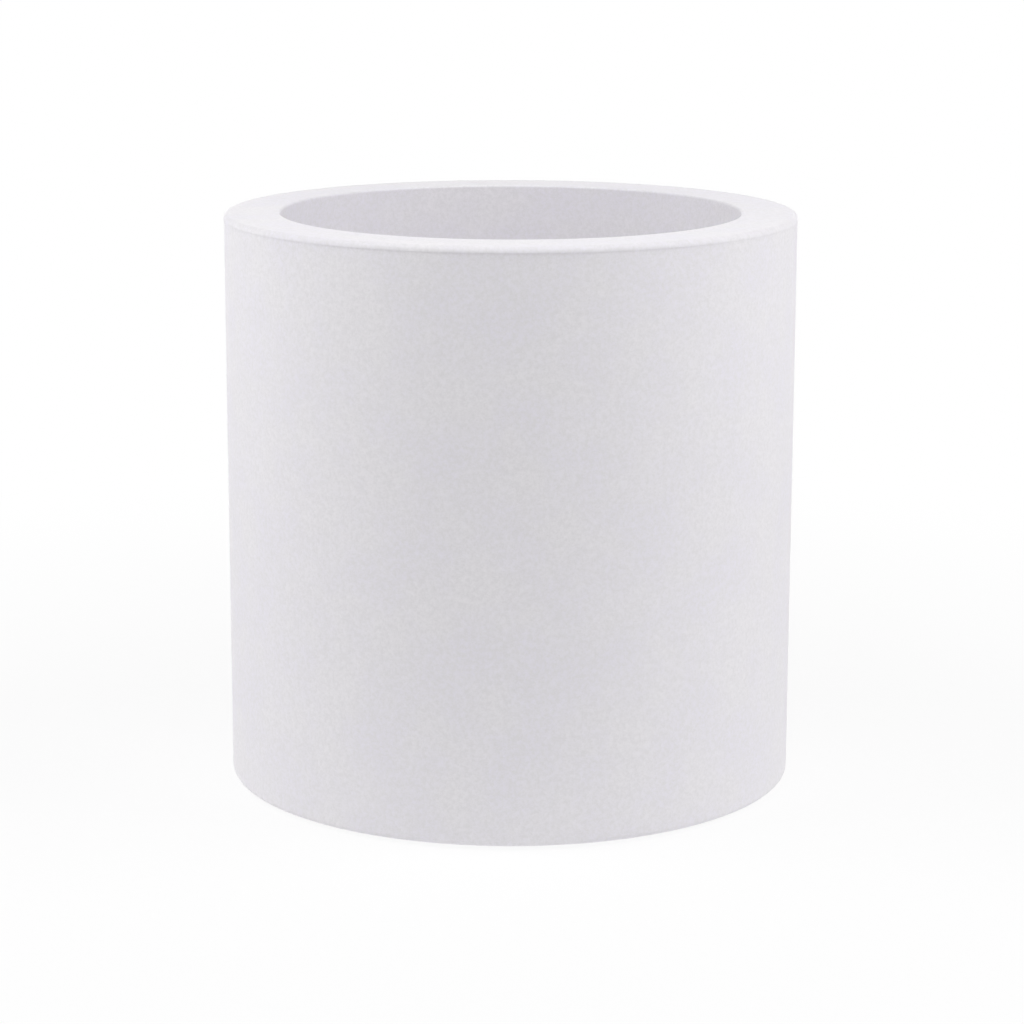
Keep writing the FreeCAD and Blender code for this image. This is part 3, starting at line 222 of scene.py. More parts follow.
def rubberFinish(name, own):  # dull skin with a bloom of dust
    look = {**rubberBase, **own}
    finish, shader, place = startFinish(name, {"Specular IOR Level": look["gloss"]})
    dust = place.noise(*look["dust"])
    dress(shader, {
        "Base Color": dust.within(*look["dustSpread"]).blend(tone(look["colour"]), tone(look["bloom"])),
        "Roughness": between(look["rough"], dust),
        "Normal": place.cells(look["pores"]).bump(look["depth"], look["strength"])})
    return finish


metalBase = {
    "streaks": (1.0, 3.0, 0.65), "stains": (160.0, 3.0), "ringScale": 3200.0, "darkShare": 0.86,
    "darkSpread": (0.3, 0.7), "colourShares": (0.6, 0.4), "roughShares": (0.7, 0.3),
    "depth": 0.00004, "strength": 0.4,
}


def metalFinish(name, own):  # brushed along one axis, or turned in rings about one
    look = {**metalBase, **own}
    finish, shader, place = startFinish(name, {"Metallic": 1.0})
    if "rings" in look:
        spread = place.vector("SUBTRACT", look["rings"]).vector("MULTIPLY", look["ringPlane"])
        along = place.node("ShaderNodeCombineXYZ", None, {"X": spread.length() * look["ringScale"]})
    else:
        along = place.stretched(look["brush"])
    marks = along.noise(*look["streaks"]), place.noise(*look["stains"])
    dark = mixed(marks, look["colourShares"]).within(*look["darkSpread"])
    dress(shader, {
        "Base Color": dark.blend(tone(look["colour"], look["darkShare"]), tone(look["colour"])),
        "Roughness": between(look["rough"], mixed(marks, look["roughShares"])),
        "Normal": marks[0].bump(look["depth"], look["strength"])})
    return finish


boardBase = {
    "gloss": 0.5, "weave": (2400.0, 2.0), "weaveShares": (0.9, 1.08), "rough": (0.28, 0.48),
    "depth": 0.00004, "strength": 0.7, "gridOffset": 0.5,
    "grid": {"Scale": 1.0, "Mortar Size": 0.11, "Mortar Smooth": 0.1, "Brick Width": 0.9, "Row Height": 0.32},
}


def boardFinish(name, own):  # solder mask over copper tracks, with a soft weave below
    look = {**boardBase, **own}
    finish, shader, place = startFinish(name, {"Specular IOR Level": look["gloss"]})
    grid = {"Vector": place.stretched(look["tracks"]), **look["grid"]}
    tracks = place.node("ShaderNodeTexBrick", {"offset": look["gridOffset"]}, grid, "Fac")
    weave = place.noise(*look["weave"])
    ground = weave.blend(*[tone(look["colour"], share) for share in look["weaveShares"]])
    dress(shader, {
        "Base Color": tracks.blend(ground, tone(look["copper"])),
        "Roughness": between(look["rough"], weave),
        "Normal": tracks.bump(look["depth"], look["strength"])})
    return finish


cellBase = {
    "gloss": 0.5, "bareEnd": 0.0022, "sleeveFade": 0.0004, "rough": (0.24, 0.46),
    "creases": (1.0, 3.0), "creaseStretch": (500, 60, 500), "creaseSpread": (0.35, 0.7),
    "creaseShares": (0.8, 1.1), "depth": 0.0001, "strength": 0.4,
}


def cellFinish(name, own):  # shrink sleeve with bare steel past both ends
    look = {**cellBase, **own}
    finish, shader, place = startFinish(name, {"Specular IOR Level": look["gloss"]})
    sleeveEnd = look["end"] - look["bareEnd"]
    bare = abs(place.axis("Y")).within(sleeveEnd, sleeveEnd + look["sleeveFade"])
    creases = place.stretched(look["creaseStretch"]).noise(*look["creases"])
    shades = [tone(look["colour"], share) for share in look["creaseShares"]]
    sleeve = creases.within(*look["creaseSpread"]).blend(*shades)
    dress(shader, {
        "Base Color": bare.blend(sleeve, tone(look["steel"])), "Metallic": bare,
        "Roughness": between(look["rough"], creases),
        "Normal": creases.bump(look["depth"], look["strength"])})
    return finish


ledBase = {
    "gloss": 0.5, "lensHeight": 0.0004, "rough": (0.42, 0.16), "depth": 0.00002, "strength": 0.5,
    "grit": (3000.0, 2.0), "gritShares": (0.9, 1.06), "gritRough": 0.1,
}


def ledFinish(name, own):  # white housing, phosphor in the raised lens
    look = {**ledBase, **own}
    finish, shader, place = startFinish(name, {"Specular IOR Level": look["gloss"]})
    lens = place.axis("Z") > look["top"] - look["lensHeight"]
    grit = place.noise(*look["grit"])
    phosphor = grit.blend(*[tone(look["phosphor"], share) for share in look["gritShares"]])
    dress(shader, {
        "Base Color": lens.blend(tone(look["colour"]), phosphor),
        "Roughness": between(look["rough"], lens) + look["gritRough"] * grit,
        "Normal": grit.bump(look["depth"], look["strength"])})
    return finish


opalBase = {
    "fixed": {"Specular IOR Level": 0.5, "Subsurface Weight": 0.35, "Subsurface Scale": 0.004,
              "Coat Weight": 0.15},
    "haze": (26.0, 4.0, 0.6), "hazeSpread": (0.3, 0.7), "hazeShare": 0.95, "rough": (0.3, 0.42),
    "grain": (1400.0, 2.0), "depth": 0.00003, "strength": 0.4,
}


def opalFinish(name, own):  # clouded light-spreading plastic
    look = {**opalBase, **own}
    finish, shader, place = startFinish(name, look["fixed"])
    haze = place.noise(*look["haze"])
    clouds = haze.within(*look["hazeSpread"])
    dress(shader, {
        "Base Color": clouds.blend(tone(look["colour"], look["hazeShare"]), tone(look["colour"])),
        "Roughness": between(look["rough"], haze),
        "Normal": place.noise(*look["grain"]).bump(look["depth"], look["strength"])})
    return finish


foamBase = {
    # the first pore share is painted shade in each pore's hollow, the second the lighter cell walls
    "gloss": 0.2, "pores": 1100.0, "poreShadeSpread": (0.1, 0.6), "poreShadeShares": (0.55, 1.1), "rough": (0.9, 0.8),
    "depth": 0.0004, "strength": 0.8,
}


def foamFinish(name, own):  # open cells, each pore's hollow painted darker as shade
    look = {**foamBase, **own}
    finish, shader, place = startFinish(name, {"Specular IOR Level": look["gloss"]})
    pores = place.cells(look["pores"])
    shades = [tone(look["colour"], share) for share in look["poreShadeShares"]]
    dress(shader, {
        # painted shade: the colour darkens towards each pore's centre, where the bump sinks it
        "Base Color": pores.within(*look["poreShadeSpread"]).blend(*shades),
        "Roughness": between(look["rough"], pores),
        "Normal": pores.bump(look["depth"], look["strength"])})
    return finish


leadBase = {
    "gloss": 0.45, "scuffs": (600.0, 3.0), "scuffShares": (0.88, 1.08), "rough": (0.38, 0.58),
    "depth": 0.00004, "strength": 0.4, "middle": 0.0,
}


def pairedWireFinish(name, own):  # two insulated leads, one colour each side of the middle
    look = {**leadBase, **own}
    finish, shader, place = startFinish(name, {"Specular IOR Level": look["gloss"]})
    scuffs = place.noise(*look["scuffs"])
    left = scuffs.blend(*[tone(look["left"], share) for share in look["scuffShares"]])
    right = scuffs.blend(*[tone(look["right"], share) for share in look["scuffShares"]])
    side = place.axis("X") > look["middle"]
    dress(shader, {
        "Base Color": side.blend(left, right),
        "Roughness": between(look["rough"], scuffs),
        "Normal": scuffs.bump(look["depth"], look["strength"])})
    return finish


componentBase = {
    "gloss": 0.45, "canDrop": 0.0006, "canFade": 0.0003, "canRise": 0.001,
    "grit": (2600.0, 3.0), "gritShares": (0.8, 1.3), "gritRough": 0.15, "rough": (0.5, 0.3),
    "depth": 0.00003, "strength": 0.6,
}


def componentFinish(name, own):  # black bodies with bare tops on the tall cans
    look = {**componentBase, **own}
    finish, shader, place = startFinish(name, {"Specular IOR Level": look["gloss"]})
    height = place.axis("Z")
    canLevel = look["top"] - look["canDrop"]
    can = height.within(canLevel, canLevel + look["canFade"]) * (height < look["top"] + look["canRise"])
    grit = place.noise(*look["grit"])
    body = grit.blend(*[tone(look["colour"], share) for share in look["gritShares"]])
    dress(shader, {
        "Base Color": can.blend(body, tone(look["can"])), "Metallic": can,
        "Roughness": between(look["rough"], can) + look["gritRough"] * grit,
        "Normal": grit.bump(look["depth"], look["strength"])})
    return finish


lensBase = {
    "fixed": {"Specular IOR Level": 0.55, "Transmission Weight": 0.35, "Coat Weight": 0.4,
              "Coat Roughness": 0.08},
    "swirl": (700.0, 3.0), "swirlShares": (0.9, 1.08), "rough": (0.12, 0.24),
}


def lensFinish(name, own):  # tinted clear plastic, frosted a little
    look = {**lensBase, **own}
    finish, shader, place = startFinish(name, look["fixed"])
    swirl = place.noise(*look["swirl"])
    shades = [tone(look["colour"], share) for share in look["swirlShares"]]
    dress(shader, {"Base Color": swirl.blend(*shades), "Roughness": between(look["rough"], swirl)})
    return finish


shellFinish = polyethyleneFinish(polyethyleneLook)
buttonSpot = tuple((a + b) / 2 for a, b in zip(*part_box("button_cap")))
slotFinishes = {
    "foot_rubber": rubberFinish("footRubber", {
        "colour": (0.30, 0.30, 0.31), "bloom": (0.40, 0.40, 0.41), "rough": (0.72, 0.92)}),
    "brass": metalFinish("brassInsert", {
        "colour": (0.80, 0.58, 0.26), "brush": (300, 300, 2600), "rough": (0.22, 0.42)}),
    "hatch_plastic": mouldedFinish("hatchPlastic", {
        "colour": (0.66, 0.66, 0.68), "fleckShare": 1.06, "grain": (1500.0, 3.0, 0.6), "rough": (0.5, 0.66)}),
    "seal_rubber": rubberFinish("sealRubber", {
        "colour": (0.022, 0.022, 0.023), "bloom": (0.06, 0.06, 0.06), "rough": (0.66, 0.86)}),
    "stainless_steel": metalFinish("stainlessScrew", {
        "colour": (0.72, 0.72, 0.74), "brush": (2200, 2200, 400), "rough": (0.2, 0.38)}),
    "vent_plastic": mouldedFinish("ventPlastic", {
        "colour": (0.03, 0.03, 0.032), "fleckShare": 1.6, "rough": (0.42, 0.6)}),
    "tub_plastic": mouldedFinish("tubPlastic", {"colour": (0.48, 0.49, 0.5), "rough": (0.45, 0.6)}),
    "aluminium": metalFinish("turnedAluminium", {
        "colour": (0.76, 0.77, 0.79), "rings": (0, 0, 0), "ringPlane": (1, 1, 0), "rough": (0.24, 0.42)}),
    "led_board_white": boardFinish("ledBoard", {
        "colour": (0.82, 0.82, 0.8), "copper": (0.74, 0.74, 0.72), "tracks": (60, 60, 60)}),
    "led_phosphor": ledFinish("ledPhosphor", {
        "colour": (0.86, 0.86, 0.84), "phosphor": (0.86, 0.62, 0.10), "top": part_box("led_chips")[1][2]}),
    "opal_plastic": opalFinish("opalDome", {"colour": (0.86, 0.86, 0.84)}),
    "foam": foamFinish("foamPad", {"colour": (0.28, 0.28, 0.29)}),
    "cradle_plastic": mouldedFinish("cradlePlastic", {
        "colour": (0.025, 0.025, 0.028), "fleckShare": 1.7, "rough": (0.48, 0.64)}),
    "cell_wrap": cellFinish("cellSleeve", {
        "colour": (0.03, 0.14, 0.36), "steel": (0.7, 0.7, 0.68), "end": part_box("battery_cells")[1][1]}),
    "nickel": metalFinish("nickelStrip", {
        "colour": (0.73, 0.70, 0.64), "brush": (200, 2400, 2400), "rough": (0.24, 0.4)}),
    "circuit_board": boardFinish("controlBoard", {
        "colour": (0.01, 0.10, 0.035), "copper": (0.03, 0.2, 0.07), "tracks": (95, 95, 95)}),
    "component_black": componentFinish("componentBlack", {
        "colour": (0.02, 0.02, 0.022), "can": (0.72, 0.72, 0.72), "top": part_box("board_parts")[1][2]}),
    "terminal_green": mouldedFinish("terminalGreen", {
        "colour": (0.02, 0.17, 0.05), "fleckShare": 1.2, "rough": (0.36, 0.5)}),
    "wire_red": pairedWireFinish("batteryLeads", {
        "left": (0.42, 0.01, 0.01), "right": (0.015, 0.015, 0.016)}),
    "wire_white": pairedWireFinish("lampLeads", {
        "left": (0.66, 0.66, 0.64), "right": (0.36, 0.36, 0.37)}),
    "gland_nylon": mouldedFinish("glandNylon", {
        "colour": (0.03, 0.03, 0.033), "fleckShare": 1.6, "rough": (0.4, 0.55)}),
    "cable_jacket": rubberFinish("cableJacket", {
        "colour": (0.02, 0.02, 0.021), "bloom": (0.045, 0.045, 0.046), "rough": (0.45, 0.62)}),
    "clip_nylon": mouldedFinish("clipNylon", {
        "colour": (0.68, 0.66, 0.58), "fleckShare": 1.05, "rough": (0.38, 0.5)}),
    "panel_plastic": mouldedFinish("panelPlastic", {
        "colour": (0.40, 0.41, 0.425), "fleckShare": 1.1, "grain": (1300.0, 3.0, 0.6), "depth": 0.00009,
        "rough": (0.5, 0.68)}),
    "button_steel": metalFinish("buttonSteel", {
        "colour": (0.74, 0.74, 0.76), "rings": buttonSpot, "ringPlane": (1, 0, 1), "rough": (0.2, 0.36)}),
    "button_cap_steel": metalFinish("buttonCapSteel", {
        "colour": (0.64, 0.64, 0.67), "rings": buttonSpot, "ringPlane": (1, 0, 1), "rough": (0.28, 0.44)}),
    "socket_plastic": mouldedFinish("socketPlastic", {
        "colour": (0.025, 0.025, 0.028), "fleckShare": 1.6, "rough": (0.42, 0.58)}),
    "lid_plastic": mouldedFinish("lidPlastic", {
        "colour": (0.03, 0.03, 0.033), "fleckShare": 1.6, "grain": (1200.0, 3.0, 0.6), "depth": 0.0001,
        "rough": (0.48, 0.62)}),
    "lens_plastic": lensFinish("chargeLens", {"colour": (0.16, 0.6, 0.24)}),
    "drain_plastic": mouldedFinish("drainPlastic", {
        "colour": (0.66, 0.66, 0.67), "fleckShare": 1.05, "rough": (0.4, 0.55)}),
    "tube_plastic": mouldedFinish("tubePlastic", {"colour": (0.34, 0.35, 0.36), "rough": (0.4, 0.52)}),
    "plug_rubber": rubberFinish("plugRubber", {
        "colour": (0.17, 0.17, 0.175), "bloom": (0.26, 0.26, 0.26), "rough": (0.68, 0.85)}),
}
print("finishes:", len(slotFinishes) + 1)


def turnedForm(corners, steps, closed, weld=1e-6):  # corners are radius, height, rounding, segments
    bm = bmesh.new()
    outline = [bm.verts.new((radius, 0, height)) for radius, height, _, _ in corners]
    for start, end in zip(outline, outline[1:]):
        bm.edges.new((start, end))
    if closed:
        bm.edges.new((outline[-1], outline[0]))
    for corner, (_, _, rounding, segments) in zip(outline, corners):
        if rounding:
            bmesh.ops.bevel(bm, geom=[corner], offset=rounding, offset_type="OFFSET", segments=segments,
                            profile=0.5, affect="VERTICES", material=-1)
    bmesh.ops.spin(bm, geom=bm.verts[:] + bm.edges[:], cent=(0, 0, 0), axis=(0, 0, 1), angle=math.tau,
                   steps=steps, use_merge=True)
    bmesh.ops.remove_doubles(bm, verts=bm.verts, dist=weld)
    bmesh.ops.recalc_face_normals(bm, faces=bm.faces)
    return bm


def addRod(bm, radius, low, high, x=0.0, y=0.0, segments=64):  # upright cylinder
    spot = Matrix.Translation((x, y, (low + high) / 2))
    bmesh.ops.create_cone(bm, cap_ends=True, segments=segments, radius1=radius, radius2=radius,
                          depth=high - low, matrix=spot)


def addRearRod(bm, radius, low, high, x, z, segments=48):  # cylinder along Y
    spot = Matrix.Translation((x, (low + high) / 2, z)) @ Matrix.Rotation(math.pi / 2, 4, "X")
    bmesh.ops.create_cone(bm, cap_ends=True, segments=segments, radius1=radius, radius2=radius,
                          depth=high - low, matrix=spot)


def addRearSlab(bm, size, rounding, low, high, z, segments=10):  # block with rounded corners along Y
    width, height = size
    spot = Matrix.Translation((0, (low + high) / 2, z)) @ Matrix.Diagonal((width, high - low, height, 1))
    made = bmesh.ops.create_cube(bm, size=1.0, matrix=spot)["verts"]
    edges = {edge for vert in made for edge in vert.link_edges}
    deep = [e for e in edges if abs(e.verts[0].co.y - e.verts[1].co.y) > (high - low) / 2]
    bmesh.ops.bevel(bm, geom=deep, offset=rounding, offset_type="OFFSET", segments=segments, profile=0.5,
                    affect="EDGES", material=-1)


def ringSpots(count, radius, shift=0.0):  # places around the axis, turned by a share of one step
    for step in range(count):
        angle = math.tau * (step + shift) / count
        yield radius * math.cos(angle), radius * math.sin(angle)


def newPiece(name, bm):
    mesh = bpy.data.meshes.new(name)
    bm.to_mesh(mesh)
    bm.free()
    piece = bpy.data.objects.new(name, mesh)
    bpy.context.scene.collection.objects.link(piece)
    return piece


def carve(piece, bm, operation):  # applies a boolean and drops its tool
    tool = newPiece("tool", bm)
    step = piece.modifiers.new("carve", "BOOLEAN")
    step.object = tool
    step.operation = operation
    step.solver = "EXACT"
    shaped = bpy.data.meshes.new_from_object(piece.evaluated_get(bpy.context.evaluated_depsgraph_get()))
    piece.modifiers.clear()
    old = piece.data
    piece.data = shaped
    shaped.name = piece.name
    bpy.data.meshes.remove(old)
    dropPiece(tool)


def dropPiece(piece):
    mesh = piece.data
    bpy.data.objects.remove(piece)
    bpy.data.meshes.remove(mesh)


def finishSurface(piece, finish, sharpAngle=32.0, weld=2e-6, sliver=1e-6):  # smooth faces, crisp edges
    bm = bmesh.new()
    bm.from_mesh(piece.data)
    bmesh.ops.remove_doubles(bm, verts=bm.verts, dist=weld)
    bmesh.ops.dissolve_degenerate(bm, dist=sliver, edges=bm.edges)
    for face in bm.faces:
        face.smooth = True
        face.material_index = 0
    for edge in bm.edges:
        edge.smooth = len(edge.link_faces) == 2 and edge.calc_face_angle() < math.radians(sharpAngle)
    bm.to_mesh(piece.data)
    bm.free()
    piece.data.materials.clear()
    piece.data.materials.append(finish)
    even = piece.modifiers.new("evenShading", "WEIGHTED_NORMAL")
    even.keep_sharp = True
    return piece


shellForm = {
    "wall": 0.2995, "skin": 0.006, "base": 0.003, "seat": 0.5964, "wallRings": (0.24, 0.36, 0.48),
    "baseRound": (0.006, 8), "recessRound": (0.005, 6), "cavityRound": (0.002, 3),     # radius, segments
    "recess": 0.260, "recessTop": 0.017, "port": 0.0936252,
    "snapTop": 0.5914, "snapLow": 0.5864, "snapDepth": 0.001,
    "pocketSize": (0.120, 0.074), "pocketRound": 0.012, "pocketFace": 0.2775, "pocketLevel": 0.070,
    "pocketMargin": 0.012, "window": (0.092, 0.042), "windowRound": 0.008, "blockSpan": (-0.1, 0.4),
    "mouthRound": (0.0025, 5), "mouthFit": (0.0003, 0.0005), "mouthAngle": 40,
    "panelScrew": (0.0505, 0.0275), "panelInsert": (0.00355, 0.008), "panelBoss": (0.0075, 0.012),
    "hatchScrews": (8, 0.1046252), "hatchInsert": (0.00405, 0.010), "hatchBoss": (0.008, 0.014),
    "feet": (6, 0.2755), "footTurn": 0.5, "footSocket": (0.00925, 0.002), "footHole": (0.00405, 40),
    "drain": (-0.1346252, 0.01505), "drainSides": 96, "overrun": 0.002, "farOverrun": 0.02, "steps": 360,
}


def outerShell(form):
    piece = newPiece("outerShell", turnedForm(shellCorners(form), form["steps"], True))
    addPocketBox(piece, form)
    addBosses(piece, form)
    pocket = bmesh.new()
    addRearSlab(pocket, form["pocketSize"], form["pocketRound"], form["pocketFace"],
                form["wall"] + form["farOverrun"], form["pocketLevel"])
    carve(piece, pocket, "DIFFERENCE")
    roundMouth(piece, form)
    cutHoles(piece, form)
    cutFeet(piece, form)
    return finishSurface(piece, shellFinish)


def shellCorners(form):
    skin, wall, recess, snap = form["skin"], form["wall"], form["recess"], form["snapDepth"]
    bore = wall - skin
    deck = form["recessTop"] + skin
    cavityFloor = form["base"] + skin
    margin = form["pocketSize"][1] / 2 + form["pocketMargin"]
    recessRound, recessSegments = form["recessRound"]
    return [
        (form["port"], form["recessTop"], 0, 0),
        (recess, form["recessTop"], recessRound, recessSegments),
        (recess, form["base"], recessRound, recessSegments),
        (wall, form["base"], *form["baseRound"]),
        (wall, form["pocketLevel"] - margin, 0, 0),
        (wall, form["pocketLevel"] + margin, 0, 0),
        *[(wall, level, 0, 0) for level in form["wallRings"]],
        (wall, form["seat"], 0, 0),
        (bore, form["seat"], 0, 0),
        (bore, form["snapTop"], 0, 0),
        (bore + snap, form["snapTop"] - snap, 0, 0),
        (bore + snap, form["snapLow"] + snap, 0, 0),
        (bore, form["snapLow"], 0, 0),
        (bore, cavityFloor, *form["cavityRound"]),
        (recess + skin, cavityFloor, *form["cavityRound"]),
        (recess + skin, deck, recessRound + skin, recessSegments),
        (form["port"], deck, 0, 0),
    ]


def addPocketBox(piece, form):  # the pocket's outside, trimmed to the middle of the wall
    skin, wall = form["skin"], form["wall"]
    block = bmesh.new()
    size = [side + 2 * skin for side in form["pocketSize"]]
    addRearSlab(block, size, form["pocketRound"] + skin, form["pocketFace"] - skin, wall + form["farOverrun"],
                form["pocketLevel"])
    box = newPiece("pocketBox", block)
    middle = bmesh.new()
    addRod(middle, wall - skin / 2, *form["blockSpan"], segments=form["steps"])
    carve(box, middle, "INTERSECT")
    trimmed = bmesh.new()
    trimmed.from_mesh(box.data)
    dropPiece(box)
    carve(piece, trimmed, "UNION")


def panelCorners(form):
    screwX, screwZ = form["panelScrew"]
    return [(x, form["pocketLevel"] + z) for x in (-screwX, screwX) for z in (-screwZ, screwZ)]


def addBosses(piece, form):  # behind the hatch screws and the panel screws
    half = form["skin"] / 2
    bosses = bmesh.new()
    radius, tall = form["hatchBoss"]
    for x, y in ringSpots(*form["hatchScrews"]):
        addRod(bosses, radius, form["recessTop"] + half, form["recessTop"] + tall, x, y)
    radius, deep = form["panelBoss"]
    for x, z in panelCorners(form):
        addRearRod(bosses, radius, form["pocketFace"] - deep, form["pocketFace"] - half, x, z)
    carve(piece, bosses, "UNION")


def roundMouth(piece, form):  # eases the pocket's edge where it meets the wall
    bm = bmesh.new()
    bm.from_mesh(piece.data)
    wide, tall = form["pocketSize"]
    wallFit, sideFit = form["mouthFit"]
    rounding, segments = form["mouthRound"]
    mouth = []
    for edge in bm.edges:
        onWall = all(abs(math.hypot(v.co.x, v.co.y) - form["wall"]) < wallFit for v in edge.verts)
        near = all(v.co.y > 0 and abs(v.co.x) < wide / 2 + sideFit and
                   abs(v.co.z - form["pocketLevel"]) < tall / 2 + sideFit for v in edge.verts)
        if onWall and near and len(edge.link_faces) == 2:
            if edge.calc_face_angle() > math.radians(form["mouthAngle"]):
                mouth.append(edge)
    bmesh.ops.bevel(bm, geom=mouth, offset=rounding, offset_type="OFFSET", segments=segments, profile=0.5,
                    affect="EDGES", clamp_overlap=True, material=-1)
    bm.to_mesh(piece.data)
    bm.free()
    print("pocket mouth edges:", len(mouth))


def cutHoles(piece, form):  # panel window, screw inserts and drain outlet
    over, face, top, level = form["overrun"], form["pocketFace"], form["recessTop"], form["pocketLevel"]
    cuts = bmesh.new()
    addRearSlab(cuts, form["window"], form["windowRound"], face - form["skin"] - over, face + over, level)
    radius, deep = form["panelInsert"]
    for x, z in panelCorners(form):
        addRearRod(cuts, radius, face - deep, face + over, x, z)
    radius, tall = form["hatchInsert"]
    for x, y in ringSpots(*form["hatchScrews"]):
        addRod(cuts, radius, top - over, top + tall, x, y)
    drainX, radius = form["drain"]
    addRod(cuts, radius, top - over, top + form["skin"] + over, drainX, segments=form["drainSides"])
    carve(piece, cuts, "DIFFERENCE")


def cutFeet(piece, form):  # a shallow socket and a stem hole per foot pad
    base, over = form["base"], form["overrun"]
    radius, deep = form["footSocket"]
    holeRadius, holeSides = form["footHole"]
    sockets, holes = bmesh.new(), bmesh.new()
    for x, y in ringSpots(*form["feet"], form["footTurn"]):
        addRod(sockets, radius, base - over, base + deep, x, y)
        addRod(holes, holeRadius, base, base + form["skin"] + over, x, y, holeSides)
    carve(piece, sockets, "DIFFERENCE")
    carve(piece, holes, "DIFFERENCE")


bowlForm = {
    "rim": 0.300, "top": 0.603, "mouth": 0.241, "foot": 0.2300019, "floor": 0.183, "floorRing": 0.06,
    "skin": 0.006, "draft": 1.5, "rimOuterRound": (0.006, 12), "rimInnerRound": (0.0025, 8),
    "floorRound": (0.016, 12), "cavityRound": (0.002, 3), "seamRound": (0.00015, 2),     # radius, segments
    "seat": 0.5964, "spigot": 0.2932, "spigotWall": 0.004, "spigotLow": 0.5804,
    "snapTop": 0.5914, "snapLow": 0.5864, "snapDepth": 0.001,
    "drain": (-0.1346252, 0.01275), "drainSides": 96, "overrun": 0.002, "steps": 360,
}


def plantingBowl(form):
    floor, over = form["floor"], form["overrun"]
    piece = newPiece("plantingBowl", turnedForm(bowlCorners(form), form["steps"], False))
    hole = bmesh.new()
    drainX, radius = form["drain"]
    addRod(hole, radius, floor - form["skin"] - over, floor + over, drainX, segments=form["drainSides"])
    carve(piece, hole, "DIFFERENCE")
    return finishSurface(piece, shellFinish)


def bowlCorners(form):
    skin, spigot, snap = form["skin"], form["spigot"], form["snapDepth"]
    under = form["floor"] - skin
    underFoot = form["foot"] + skin * (1 - math.tan(math.radians(form["draft"])))
    floorRound, floorSegments = form["floorRound"]
    return [
        (0, form["floor"], 0, 0),
        (form["floorRing"], form["floor"], 0, 0),
        (form["foot"], form["floor"], floorRound, floorSegments),
        (form["mouth"], form["top"], *form["rimInnerRound"]),
        (form["rim"], form["top"], *form["rimOuterRound"]),
        (form["rim"], form["seat"], *form["seamRound"]),
        (spigot, form["seat"], 0, 0),
        (spigot, form["snapTop"], 0, 0),
        (spigot + snap, form["snapTop"] - snap, 0, 0),
        (spigot + snap, form["snapLow"] + snap, 0, 0),
        (spigot, form["snapLow"], 0, 0),
        (spigot, form["spigotLow"], 0, 0),
        (spigot - form["spigotWall"], form["spigotLow"], 0, 0),
        (spigot - form["spigotWall"], form["top"] - skin, *form["cavityRound"]),
        (form["mouth"] + skin, form["top"] - skin, *form["cavityRound"]),
        (underFoot, under, floorRound + skin, floorSegments),
        (form["floorRing"], under, 0, 0),
        (0, under, 0, 0),
    ]


bootForm = {"wall": 0.001, "crownShare": 0.6, "lip": (0.0003, 3), "press": 0.0026, "steps": 72}


def buttonBoot(form):  # the soft cone that pushes the button back out
    low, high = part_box("button_boot")
    foot = (high[0] - low[0]) / 2
    tall = high[1] - low[1]
    crown = foot * form["crownShare"]
    bm = turnedForm([
        (foot - form["wall"], 0, *form["lip"]),
        (foot, 0, *form["lip"]),
        (crown, tall, *form["lip"]),
        (crown - form["wall"], tall, *form["lip"]),
    ], form["steps"], True)
    anchor = ((low[0] + high[0]) / 2, low[1], (low[2] + high[2]) / 2)
    turn = Matrix.Translation(anchor) @ Matrix.Rotation(-math.pi / 2, 4, "X")
    bmesh.ops.transform(bm, matrix=turn, verts=bm.verts)
    piece = finishSurface(newPiece("buttonBoot", bm), slotFinishes["seal_rubber"])
    return piece, anchor, 1 - form["press"] / tall


shell = outerShell(shellForm)
bowl = plantingBowl(bowlForm)
boot, bootAnchor, bootKeep = buttonBoot(bootForm)
for piece, node, slot in (
        (shell, "outer_shell", "shell_polyethylene"), (bowl, "planting_bowl", "shell_polyethylene"),
        (boot, "button_boot", "seal_rubber")):
    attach(piece, "planter")
    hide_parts(node)
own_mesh(boot)
print("shell:", len(shell.data.polygons), "faces, bowl:", len(bowl.data.polygons), "faces")

slotOfNode = {part["node"]: part["material_slot"] for part in frame["record"]["subparts"]}
for name, node in nodes.items():
    finish = slotFinishes.get(slotOfNode[name], shellFinish)
    for seat in node.material_slots:
        seat.material = finish
print("dressed nodes:", len(nodes))

floorLook = {
    "colour": (0.9, 0.9, 0.905), "cloth": (6.0, 3.0), "clothShare": 0.99, "rough": 0.9, "gloss": 0.1,
    "half": 40.0, "cells": 8, "level": -0.0003,
    "lift": (0.88, 1.0), "liftReach": (0.45, 1.6),     # how white the camera sees it, near and far
    "bounce": (0.5, 0.0), "bounceReach": (0.4, 0.7),   # light it sends up to the lower wall and the base
}


